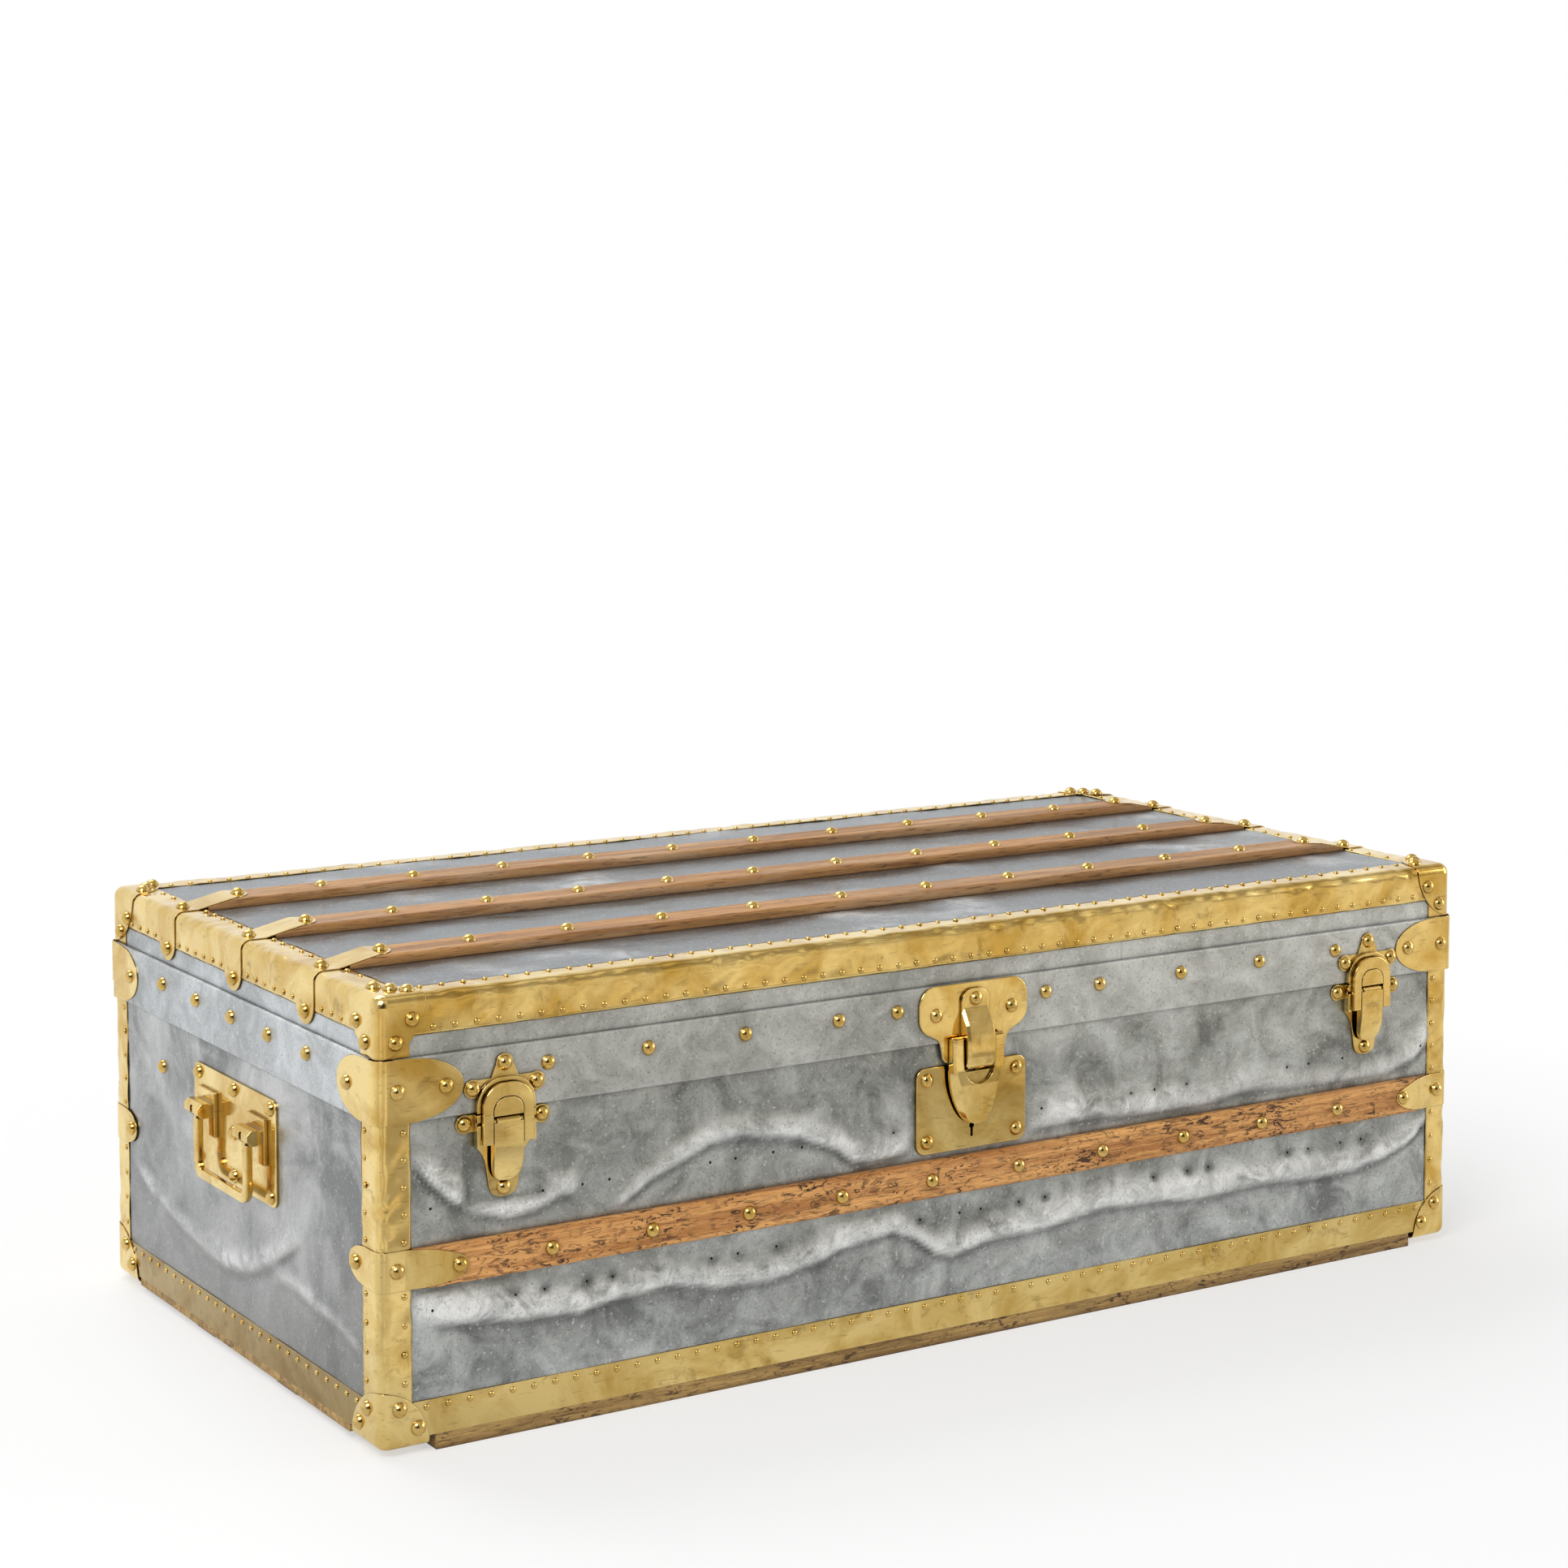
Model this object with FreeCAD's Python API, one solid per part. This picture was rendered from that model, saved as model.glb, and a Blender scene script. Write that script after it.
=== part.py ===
import FreeCAD, Part
import math
import os

# A metal-clad cabin trunk: a wooden box under zinc sheet, bound with brass strips, caps and
# brackets, with wooden slats, a hinged lid, two lever latches, a hasp lock and two end handles.
# Millimetres, +Z up, front towards -Y, origin on the ground under the middle of the trunk.

V = FreeCAD.Vector

# Carcass
SKIN_LENGTH = 1100.0
SKIN_DEPTH = 556.0
CHEST_HEIGHT = 260.5
LID_HEIGHT = 83.2
BOARD = 10.0
SHEET = 0.8
LINING = 0.8
CORNER_RADIUS = 8.0
TOP_RADIUS = 7.0
SPLIT_GAP = 0.3
RUNNING_GAP = 0.5
PIN_CLEARANCE = 0.05

# Brass binding
BRASS = 0.8
CAP = 1.0
POST_FRONT = 26.0
POST_SIDE = 30.0
BUTT_GAP = 0.3
BOTTOM_EDGE_HEIGHT = 28.0
TOP_EDGE_DROP = 31.0
TOP_EDGE_FRONT_WIDTH = 27.0
TOP_EDGE_END_WIDTH = 29.5
CAP_ALONG = 42.0
CAP_ACROSS = 52.0
TOP_CAP_DROP = 49.0
BOTTOM_CAP_RISE = 46.0

# Wood outside the box
RUNNER_THICK = 6.0
RUNNER_WIDTH = 40.0
RUNNER_SPREAD = 86.0
RUNNER_INSET = 5.5
RAIL_THICK = 6.5
RAIL_WIDTH = 40.0
RAIL_CAP_GAP = 4.0
SLAT_HEIGHT = 31.0
SLAT_THICK = 9.0
SLAT_ROUND = 3.0
SLAT_BELOW_LOCK = 5.0
TOP_SLAT_WIDTH = 38.0
TOP_SLAT_THICK = 8.5
TOP_SLAT_SPREAD = 146.0
RAMP_START = 20.4
RAMP_END = 56.0

# Brackets and straps
BRACKET = 1.0
SLAT_BRACKET_REACH = 71.0
SLAT_BRACKET_SIDE = 52.0
BAND_BRACKET_REACH = 70.0
BAND_BRACKET_SIDE = 66.0
TONGUE_STRAIGHT = 22.0
STRAP_WIDTH = 35.0
STRAP_REACH = 72.0
STRAP_DROP = 43.0
STRAP_TIP = 18.0

# Band along the front and ends of the lid
BAND_HEIGHT = 50.0
BAND_LAP = 14.0
BAND_PROUD = 3.5
BAND_END = 12.0
BAND_BEVEL = 1.2
BAND_NAIL_LEVEL = 32.0

# Domed nails
NAIL_RADIUS = 6.2
NAIL_HEIGHT = 4.8
NAIL_PITCH = 90.3
NAIL_PAIRS = 5
END_NAIL_PITCH = 76.5
HASP_NAIL_OFFSET = 77.0
LONE_NAIL_SPOT = 163.0
LONE_NAIL_LEVEL = 216.0

# Lock and hasp
LOCK_WIDTH = 113.5
LOCK_HEIGHT = 74.0
LOCK_DROP = 19.5
LOCK_PLATE = 2.5
PLATE_ROUND = 0.8
LOCK_CORNER = 9.0
LOCK_NAIL_INSET = 10.5
KEYHOLE_RADIUS = 2.6
KEYHOLE_SLOT = 2.6
KEYHOLE_LENGTH = 12.0
KEYHOLE_RISE = 10.0
CASE_WIDTH = 72.0
CASE_HEIGHT = 50.0
CASE_WALL = 1.2
BOLT_LENGTH = 40.0
BOLT_HEIGHT = 12.0
BOLT_TRAVEL = 6.0
SPRING_THICK = 0.8
HASP_HALF_WIDTH = 56.0
HASP_PLATE = 2.0
HASP_LOBE_HEIGHT = 42.0
HASP_LOBE_SLOPE = 5.0
HASP_LOBE_ROUND = 17.0
HASP_LOBE_FOOT_ROUND = 16.0
HASP_NECK_FILLET = 11.0
HASP_NECK_ROUND = 6.5
HASP_NECK_WIDE = 35.0
HASP_NECK_NARROW = 31.0
HASP_NECK_DROP = 17.0
HASP_NAIL_SPREAD = 39.0
HASP_NAIL_RISE = 25.0
BRIDGE_HALF_WIDTH = 14.4
BRIDGE_RISE = 45.0
BRIDGE_DROP = 22.0
BRIDGE_PAD = 2.5
BRIDGE_BULGE = 14.0
BRIDGE_BEVEL = 2.2
HASP_AXIS_RISE = 3.8
HASP_AXIS_OUT = 9.9
HASP_BARREL = 3.8
HASP_LEG_WIDTH = 11.6
HASP_PIN_RADIUS = 1.6
HASP_LENGTH = 71.0
HASP_SLOT_DROP = 25.0
HASP_MOON_DROP = 36.0
HASP_THICK = 9.5
HASP_TIP_THICK = 6.5
HASP_SHOULDER = 3.0
HASP_LEG_ROUND = 2.4
STAPLE_HALF_WIDTH = 3.0
STAPLE_HEIGHT = 10.0
STAPLE_DROP = 36.0

# Side latches
LATCH_INSET = 105.0
LATCH_PLATE = 1.6
LATCH_BARREL = 5.0
LATCH_BARREL_HALF = 10.0
LATCH_LUG = 3.9
LATCH_TOP_GAP = 3.0
LEVER_HALF_WIDTH = 12.7
LEVER_LENGTH = 52.0
LEVER_PIN_RADIUS = 1.6
BAIL_BAR = 8.6
BAIL_HEAD = 10.8
BAIL_THICK = 4.0
BAIL_WEB = 2.0
BAIL_ROUND = 0.8
BAIL_DROP = 24.5
BAIL_RISE = 23.0
ARCH_ROUND = 0.84
BAIL_PIVOT_RISE = 3.6
BAIL_PIN_RADIUS = 1.5
BAIL_PIN_LENGTH = 4.0
CHEEK_THICK = 3.2
CHEEK_HEIGHT = 25.0
EAR_RADIUS = 7.4
BASE_EAR_SPREAD = 33.6
BASE_EAR_DROP = 8.0
BASE_TAIL_DROP = 61.8
BASE_TAIL_END = 7.0
BASE_TAIL_HALF = 12.4
KEEPER_EAR_SPREAD = 27.6
KEEPER_EAR_RISE = 19.5
KEEPER_TOP_RISE = 37.0
HOOD_WALL = 3.0

# End handles
HANDLE_WIDTH = 173.0
HANDLE_HEIGHT = 89.0
HANDLE_DROP = 21.5
HANDLE_PLATE = 2.0
HANDLE_CORNER = 8.0
HANDLE_NAIL_SPREAD = 76.0
HANDLE_NAIL_INSET = 8.0
SADDLE_SPREAD = 52.5
SADDLE_WIDTH = 36.0
SADDLE_HEIGHT = 38.0
SADDLE_THICK = 3.5
SADDLE_TOP_INSET = 18.0
BARREL_RADIUS = 7.0
BARREL_LENGTH = 30.0
BARREL_BELOW_TOP = 15.0
HANDLE_DROP_LENGTH = 58.0
HANDLE_BAR = 9.5
HANDLE_BAR_THICK = 6.0
HANDLE_ROUND = 1.6
HANDLE_BEND = 13.0
HANDLE_TONGUE = 4.4
HANDLE_PIN_RADIUS = 2.5
HANDLE_PIN_LENGTH = 24.0
SLOT_CLEARANCE = 0.4

# Back hinges
HINGE_SPREAD = 370.0
HINGE_WIDTH = 70.0
HINGE_LEAF = 38.0
HINGE_THICK = 1.6
KNUCKLE_RADIUS = 4.5
HINGE_OUT = 5.0
HINGE_PIN_RADIUS = 2.0
KNUCKLES = 5
KNUCKLE_GAP = 0.3
HINGE_NAIL_SPREAD = 24.0

# Levels and faces worked out from the sizes above
HALF_L = SKIN_LENGTH / 2
HALF_D = SKIN_DEPTH / 2
BOX_BOTTOM = RUNNER_THICK + RAIL_THICK
SPLIT = BOX_BOTTOM + CHEST_HEIGHT
LID_BOTTOM = SPLIT + SPLIT_GAP
TOP = SPLIT + LID_HEIGHT
INNER_X = HALF_L - SHEET - BOARD
INNER_Y = HALF_D - SHEET - BOARD
FLOOR_TOP = BOX_BOTTOM + BOARD
LID_CEILING = TOP - SHEET - BOARD
BAND_BOTTOM = SPLIT - BAND_LAP
BAND_TOP = BAND_BOTTOM + BAND_HEIGHT
BAND_INSIDE = BRASS + RUNNING_GAP
CAP_OUT = BRASS + CAP
LOCK_TOP = BAND_BOTTOM - LOCK_DROP
LOCK_BOTTOM = LOCK_TOP - LOCK_HEIGHT
LOCK_MIDDLE = (LOCK_TOP + LOCK_BOTTOM) / 2
SLAT_TOP = LOCK_BOTTOM - SLAT_BELOW_LOCK
SLAT_BOTTOM = SLAT_TOP - SLAT_HEIGHT
SLAT_MIDDLE = (SLAT_TOP + SLAT_BOTTOM) / 2
KEYHOLE_LEVEL = LOCK_BOTTOM + KEYHOLE_RISE
HANDLE_TOP = BAND_BOTTOM - HANDLE_DROP
HANDLE_BOTTOM = HANDLE_TOP - HANDLE_HEIGHT
FAR = SKIN_LENGTH

# Each face of the box: directions across, up and out of it, and a point on it
FACES = {
    "front": (V(1, 0, 0), V(0, 0, 1), V(0, -1, 0), V(0, -HALF_D, 0)),
    "back": (V(-1, 0, 0), V(0, 0, 1), V(0, 1, 0), V(0, HALF_D, 0)),
    "left": (V(0, -1, 0), V(0, 0, 1), V(-1, 0, 0), V(-HALF_L, 0, 0)),
    "right": (V(0, 1, 0), V(0, 0, 1), V(1, 0, 0), V(HALF_L, 0, 0)),
    "top": (V(1, 0, 0), V(0, 1, 0), V(0, 0, 1), V(0, 0, TOP)),
}


def on_face(shape, face):
    """A shape drawn as (across, up, out) set on a face of the box."""
    across, up, out, spot = FACES[face]
    turn = FreeCAD.Matrix(
        across.x, up.x, out.x, spot.x,
        across.y, up.y, out.y, spot.y,
        across.z, up.z, out.z, spot.z,
        0, 0, 0, 1,
    )
    return shape.transformed(turn, True)


def block(x0, x1, y0, y1, z0, z1):
    """A plain box between three pairs of planes."""
    return Part.makeBox(x1 - x0, y1 - y0, z1 - z0, V(x0, y0, z0))


def slab(outline, low, high):
    """A flat outline (across, up) with a thickness from low to high."""
    corners = [V(u, v, low) for u, v in outline]
    return Part.Face(Part.makePolygon(corners + corners[:1])).extrude(V(0, 0, high - low))


def bar(profile, start, end):
    """A side profile (out, up) drawn out across from start to end."""
    corners = [V(start, v, w) for w, v in profile]
    return Part.Face(Part.makePolygon(corners + corners[:1])).extrude(V(end - start, 0, 0))


def plan_bar(profile, start, end):
    """A plan profile (across, out) drawn out upwards from start to end."""
    corners = [V(u, start, w) for u, w in profile]
    return Part.Face(Part.makePolygon(corners + corners[:1])).extrude(V(0, end - start, 0))


def curved_bar(curve, rest, start, end):
    """A side profile (out, up) with one smooth stretch and a straight rest, drawn out across."""
    smooth = Part.BSplineCurve()
    smooth.interpolate([V(start, v, w) for w, v in curve])
    straight = Part.makePolygon([V(start, v, w) for w, v in [curve[-1]] + rest + [curve[0]]])
    return Part.Face(Part.Wire([smooth.toShape()] + straight.Edges)).extrude(V(end - start, 0, 0))


def shield_outline(top, side, level):
    """An outline with a straight top and one smooth curve (across, up) from side to side round its foot."""
    right = [V(u, v, level) for u, v in side]
    left = [V(-p.x, p.y, level) for p in reversed(right[:-1])]
    curve = Part.BSplineCurve()
    curve.interpolate(right + left)
    sides = Part.makePolygon([left[-1], V(left[-1].x, top, level), V(right[0].x, top, level), right[0]])
    return Part.Wire([curve.toShape()] + sides.Edges)


def shield(top, side, low, high):
    """A plate with the outline of a shield."""
    return Part.Face(shield_outline(top, side, low)).extrude(V(0, 0, high - low))


def disc(u, v, radius, low, high):
    """A round plate standing on a face."""
    return Part.makeCylinder(radius, high - low, V(u, v, low), V(0, 0, 1))


def rod(start, end, v, w, radius):
    """A round bar lying across a face."""
    return Part.makeCylinder(radius, end - start, V(start, v, w), V(1, 0, 0))


def joined(shapes):
    """One solid from several that touch or overlap."""
    return shapes[0].fuse(shapes[1:]).removeSplitter()


def mirrored(shape, axis):
    """The other hand of a shape across the middle plane of x or y."""
    normal = V(1, 0, 0) if axis == "x" else V(0, 1, 0)
    return shape.mirror(V(0, 0, 0), normal)


def pair(shape, axis):
    """A shape and its other hand."""
    return [shape, mirrored(shape, axis)]


def four_corners(shape):
    """A corner piece and its copies at the other three corners."""
    return [copy for half in pair(shape, "x") for copy in pair(half, "y")]


def rounded_corners(shape, radius):
    """A plate with its standing corner edges rounded."""
    standing = [e for e in shape.Edges if is_along(e, V(0, 0, 1))]
    return shape.makeFillet(radius, standing)


def is_along(edge, direction):
    """Whether an edge is straight and runs along a direction."""
    if len(edge.Vertexes) < 2:
        return False
    run = edge.Vertexes[1].Point.sub(edge.Vertexes[0].Point)
    return run.Length > 0 and abs(run.dot(direction)) > 0.999 * run.Length


def edges_at(shape, level):
    """The edges of a shape that lie in a level plane."""
    return [e for e in shape.Edges if all(abs(p.Z - level) < 1e-6 for p in e.Vertexes)]


def box_skin(offset, bottom, top, top_round=None, bottom_round=None):
    """The outside of the box moved out by an offset, with its rounded edges."""
    x = HALF_L + offset
    y = HALF_D + offset
    skin = rounded_corners(block(-x, x, -y, y, bottom, top), CORNER_RADIUS + offset)
    if top_round:
        skin = skin.makeFillet(top_round, edges_at(skin, top))
    if bottom_round:
        skin = skin.makeFillet(bottom_round, edges_at(skin, bottom))
    return skin


def tongue(root, straight, tip, middle, half_height, low, high):
    """A plate that runs straight from its root and ends in a half oval."""
    steps = 8
    turns = [math.pi * (i / steps - 0.5) for i in range(steps + 1)]
    long_axis = tip - straight
    oval = [V(straight + long_axis * math.cos(a), middle + half_height * math.sin(a), low) for a in turns]
    curve = Part.BSplineCurve()
    curve.interpolate(oval)
    sides = Part.makePolygon([oval[-1], V(root, middle + half_height, low),
                              V(root, middle - half_height, low), oval[0]])
    outline = Part.Wire([curve.toShape()] + sides.Edges)
    return Part.Face(outline).extrude(V(0, 0, high - low))


def make_nail():
    """A domed nail head, flat underneath."""
    ball = (NAIL_RADIUS ** 2 + NAIL_HEIGHT ** 2) / (2 * NAIL_HEIGHT)
    half_angle = math.asin(NAIL_RADIUS / ball) / 2
    middle = V(ball * math.sin(half_angle), 0, NAIL_HEIGHT - ball + ball * math.cos(half_angle))
    arc = Part.Arc(V(NAIL_RADIUS, 0, 0), middle, V(0, 0, NAIL_HEIGHT)).toShape()
    base = Part.makePolygon([V(0, 0, NAIL_HEIGHT), V(0, 0, 0), V(NAIL_RADIUS, 0, 0)])
    return Part.Face(Part.Wire([arc] + base.Edges)).revolve(V(0, 0, 0), V(0, 0, 1), 360)


NAIL = make_nail()


def nail(face, u, v, out):
    """A domed nail on a face, with its underside a distance out from the zinc."""
    head = NAIL.copy()
    head.translate(V(u, v, out))
    return on_face(head, face)


def save(name, *solids):
    """Write the solids of one node."""
    shape = solids[0] if len(solids) == 1 else Part.makeCompound(list(solids))
    shape.exportStep(os.path.join("parts", name + ".step"))


# Wooden carcass

def boards():
    """Floor and wall boards of the chest, top and rim boards of the lid."""
    wood = box_skin(-SHEET, BOX_BOTTOM, TOP - SHEET, top_round=TOP_RADIUS - SHEET)
    mortise = block(-CASE_WIDTH / 2, CASE_WIDTH / 2, -HALF_D, -INNER_Y,
                    LOCK_MIDDLE - CASE_HEIGHT / 2, LOCK_MIDDLE + CASE_HEIGHT / 2)
    save("floor_board", wood.common(block(-FAR, FAR, -FAR, FAR, BOX_BOTTOM, FLOOR_TOP)))
    long_wall = wood.common(block(-FAR, FAR, -HALF_D, -INNER_Y, FLOOR_TOP, SPLIT))
    save("front_board", long_wall.cut(mortise))
    save("back_board", mirrored(long_wall, "y"))
    short_wall = block(-HALF_L + SHEET, -INNER_X, -INNER_Y, INNER_Y, FLOOR_TOP, SPLIT)
    save("left_board", short_wall)
    save("right_board", mirrored(short_wall, "x"))
    save("lid_top_board", wood.common(block(-FAR, FAR, -FAR, FAR, LID_CEILING, TOP)))
    long_rim = wood.common(block(-FAR, FAR, -HALF_D, -INNER_Y, LID_BOTTOM, LID_CEILING))
    short_rim = block(-HALF_L + SHEET, -INNER_X, -INNER_Y, INNER_Y, LID_BOTTOM, LID_CEILING)
    save("lid_rim_boards", *pair(long_rim, "y"), *pair(short_rim, "x"))


def linings():
    """Cloth glued to the inside of the chest and of the lid."""
    inner_x = INNER_X - LINING
    inner_y = INNER_Y - LINING
    chest = block(-INNER_X, INNER_X, -INNER_Y, INNER_Y, FLOOR_TOP, SPLIT)
    chest_hollow = block(-inner_x, inner_x, -inner_y, inner_y, FLOOR_TOP + LINING, SPLIT)
    save("chest_lining", chest.cut(chest_hollow))
    lid = block(-INNER_X, INNER_X, -INNER_Y, INNER_Y, LID_BOTTOM, LID_CEILING)
    lid_hollow = block(-inner_x, inner_x, -inner_y, inner_y, LID_BOTTOM, LID_CEILING - LINING)
    save("lid_lining", lid.cut(lid_hollow))


# Zinc

def keyhole(low, high, margin):
    """The keyhole's round eye and slot, with a margin all round."""
    eye_level = KEYHOLE_LEVEL + KEYHOLE_LENGTH - KEYHOLE_RADIUS
    eye = disc(0, eye_level, KEYHOLE_RADIUS + margin, low, high)
    half = KEYHOLE_SLOT / 2 + margin
    slot = block(-half, half, KEYHOLE_LEVEL - margin, eye_level, low, high)
    return on_face(eye.fuse(slot), "front")


def sheets():
    """Flat zinc sheets on the faces of the chest and lid; they end under the brass corners."""
    half_x = HALF_L - CORNER_RADIUS
    half_y = HALF_D - CORNER_RADIUS
    front = on_face(block(-half_x, half_x, BOX_BOTTOM, SPLIT, -SHEET, 0), "front")
    save("front_sheet", front.cut(keyhole(-SHEET, 0, RUNNING_GAP)))
    save("back_sheet", mirrored(front, "y"))
    left = on_face(block(-half_y, half_y, BOX_BOTTOM, SPLIT, -SHEET, 0), "left")
    save("left_sheet", left)
    save("right_sheet", mirrored(left, "x"))
    flat_x = HALF_L - TOP_RADIUS
    flat_y = HALF_D - TOP_RADIUS
    save("lid_top_sheet", on_face(block(-flat_x, flat_x, -flat_y, flat_y, -SHEET, 0), "top"))
    rim_top = TOP - TOP_RADIUS
    rim_front = on_face(block(-half_x, half_x, LID_BOTTOM, rim_top, -SHEET, 0), "front")
    rim_left = on_face(block(-half_y, half_y, LID_BOTTOM, rim_top, -SHEET, 0), "left")
    save("lid_rim_sheets", *pair(rim_front, "y"), *pair(rim_left, "x"))


def bands():
    """The proud zinc band of the lid: it lies on the rim and laps the chest with a running gap."""
    profile = [(0, LID_BOTTOM), (0, BAND_TOP), (BAND_PROUD - BAND_BEVEL, BAND_TOP),
               (BAND_PROUD, BAND_TOP - BAND_BEVEL), (BAND_PROUD, BAND_BOTTOM + BAND_BEVEL),
               (BAND_PROUD - BAND_BEVEL, BAND_BOTTOM), (BAND_INSIDE, BAND_BOTTOM), (BAND_INSIDE, LID_BOTTOM)]
    half_x = HALF_L - BAND_END
    half_y = HALF_D - BAND_END
    save("front_band", on_face(bar(profile, -half_x, half_x), "front"))
    save("end_bands", *pair(on_face(bar(profile, -half_y, half_y), "left"), "x"))


# Brass binding

def corner_strip(bottom, top):
    """A folded brass strip standing round the front left corner."""
    ring = box_skin(BRASS, bottom, top).cut(box_skin(0, bottom, top))
    return ring.common(block(-FAR, -HALF_L + POST_FRONT, -FAR, -HALF_D + POST_SIDE, bottom, top))


def posts():
    """Corner posts of the chest and their short pieces on the lid."""
    save("corner_posts", *four_corners(corner_strip(BOX_BOTTOM, SPLIT - RUNNING_GAP)))
    save("lid_posts", *four_corners(corner_strip(BAND_TOP, TOP - TOP_RADIUS - RUNNING_GAP)))


def edges():
    """Flat strips along the bottom of the chest and folded strips along the top of the lid."""
    strip_x = HALF_L - POST_FRONT - BUTT_GAP
    strip_y = HALF_D - POST_SIDE - BUTT_GAP
    strip_top = BOX_BOTTOM + BOTTOM_EDGE_HEIGHT
    low_front = on_face(block(-strip_x, strip_x, BOX_BOTTOM, strip_top, 0, BRASS), "front")
    low_left = on_face(block(-strip_y, strip_y, BOX_BOTTOM, strip_top, 0, BRASS), "left")
    save("bottom_edges", *pair(low_front, "y"), *pair(low_left, "x"))
    shell = box_skin(BRASS, SPLIT, TOP + BRASS, top_round=TOP_RADIUS + BRASS)
    shell = shell.cut(box_skin(0, SPLIT, TOP, top_round=TOP_RADIUS))
    drop = TOP - TOP_EDGE_DROP
    front = shell.common(block(-strip_x, strip_x, -FAR, -HALF_D + TOP_EDGE_FRONT_WIDTH, drop, FAR))
    left = shell.common(block(-FAR, -HALF_L + TOP_EDGE_END_WIDTH, -strip_y, strip_y, drop, FAR))
    save("top_edges", *pair(front, "y"), *pair(left, "x"))


def corner_egg(level, height):
    """An egg-shaped solid centred on the front left corner, which outlines a corner cap."""
    stretch = FreeCAD.Matrix()
    stretch.scale(V(CAP_ALONG, CAP_ACROSS, height))
    egg = Part.makeSphere(1.0).transformGeometry(stretch)
    egg.translate(V(-HALF_L - CAP_OUT, -HALF_D - CAP_OUT, level))
    return egg


def caps():
    """Rounded brass caps over the eight corners."""
    outer = box_skin(CAP_OUT, SPLIT, TOP + CAP_OUT, top_round=TOP_RADIUS + CAP_OUT)
    inner = box_skin(BRASS, SPLIT - 1, TOP + BRASS, top_round=TOP_RADIUS + BRASS)
    top_cap = outer.cut(inner).common(corner_egg(TOP + CAP_OUT, TOP_CAP_DROP))
    save("top_corner_caps", *four_corners(top_cap))
    low = RUNNER_THICK
    outer = box_skin(CAP_OUT, low - CAP, SPLIT, bottom_round=RAIL_THICK + CAP)
    inner = box_skin(BRASS, low, SPLIT + 1, bottom_round=RAIL_THICK)
    bottom_cap = outer.cut(inner).common(corner_egg(low - CAP, BOTTOM_CAP_RISE))
    save("bottom_corner_caps", *four_corners(bottom_cap))


# Slats, rails and runners

def ramp_out(distance, thickness):
    """How far out the underside of a bracket or strap lies at a distance from the corner."""
    share = (distance - RAMP_START) / (RAMP_END - RAMP_START)
    return BRASS + (thickness - BRASS) * min(max(share, 0), 1)


def slat(half_length, end_gap, width, thickness):
    """A wooden slat with rounded edges, thinned towards both ends where the brass comes down."""
    end = half_length - end_gap
    shoulder = half_length - RAMP_END
    end_thick = ramp_out(end_gap, thickness)
    plan = [(-end, 0), (-end, end_thick), (-shoulder, thickness),
            (shoulder, thickness), (end, end_thick), (end, 0)]
    section = block(-end, end, -width / 2, width / 2, 0, thickness)
    rims = [e for e in section.Edges if is_along(e, V(1, 0, 0)) and e.CenterOfMass.z > thickness / 2]
    return section.makeFillet(SLAT_ROUND, rims).common(plan_bar(plan, -width, width))


def slats():
    """The slats on the front, the back and the top."""
    long_slat = slat(HALF_L, POST_FRONT + BUTT_GAP, SLAT_HEIGHT, SLAT_THICK)
    long_slat.translate(V(0, SLAT_MIDDLE, 0))
    front = on_face(long_slat, "front")
    save("front_slat", front)
    save("back_slat", mirrored(front, "y"))
    top = on_face(slat(HALF_L, TOP_EDGE_END_WIDTH + BUTT_GAP, TOP_SLAT_WIDTH, TOP_SLAT_THICK), "top")
    for name, spot in (("front", -TOP_SLAT_SPREAD), ("middle", 0), ("back", TOP_SLAT_SPREAD)):
        moved = top.copy()
        moved.translate(V(0, spot, 0))
        save("top_slat_" + name, moved)


def base_wood():
    """Rails under the edge of the box and runners under the rails."""
    outer_x = HALF_L + BRASS
    outer_y = HALF_D + BRASS
    long_half = HALF_L - CAP_ALONG - RAIL_CAP_GAP
    short_half = HALF_D - CAP_ACROSS - RAIL_CAP_GAP
    long_rail = block(-long_half, long_half, -outer_y, -outer_y + RAIL_WIDTH, RUNNER_THICK, BOX_BOTTOM)
    short_rail = block(-outer_x, -outer_x + RAIL_WIDTH, -short_half, short_half, RUNNER_THICK, BOX_BOTTOM)
    cross_half = outer_y - RAIL_WIDTH - BUTT_GAP
    cross_rail = block(-RAIL_WIDTH / 2, RAIL_WIDTH / 2, -cross_half, cross_half, RUNNER_THICK, BOX_BOTTOM)
    save("base_rails", *pair(long_rail, "y"), *pair(short_rail, "x"), cross_rail)
    outer_runner = block(-long_half, long_half, -outer_y, -outer_y + RUNNER_WIDTH, 0, RUNNER_THICK)
    inner_half = HALF_L - RUNNER_INSET
    inner_runner = block(-inner_half, inner_half, -RUNNER_SPREAD - RUNNER_WIDTH / 2,
                         -RUNNER_SPREAD + RUNNER_WIDTH / 2, 0, RUNNER_THICK)
    save("runners", *pair(outer_runner, "y"), *pair(inner_runner, "y"))


# Brackets and straps

def leaf_region(face, half, reach, middle, half_height):
    """The space over the left hand part of a face that a bracket's leaf covers."""
    root = -half - CORNER_RADIUS
    leaf = tongue(root, -half + TONGUE_STRAIGHT, -half + reach, middle, half_height,
                  -CORNER_RADIUS, SLAT_THICK + CORNER_RADIUS)
    return on_face(leaf, face)


def corner_leaves(metal, reach, side_reach, bottom, top):
    """Cut sheet metal round the front left corner to a bracket with two oval leaves."""
    middle = (bottom + top) / 2
    half_height = (top - bottom) / 2
    front = leaf_region("front", HALF_L, reach, middle, half_height)
    side = mirrored(leaf_region("left", HALF_D, side_reach, middle, half_height), "y")
    return metal.common(front.fuse(side))


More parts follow.
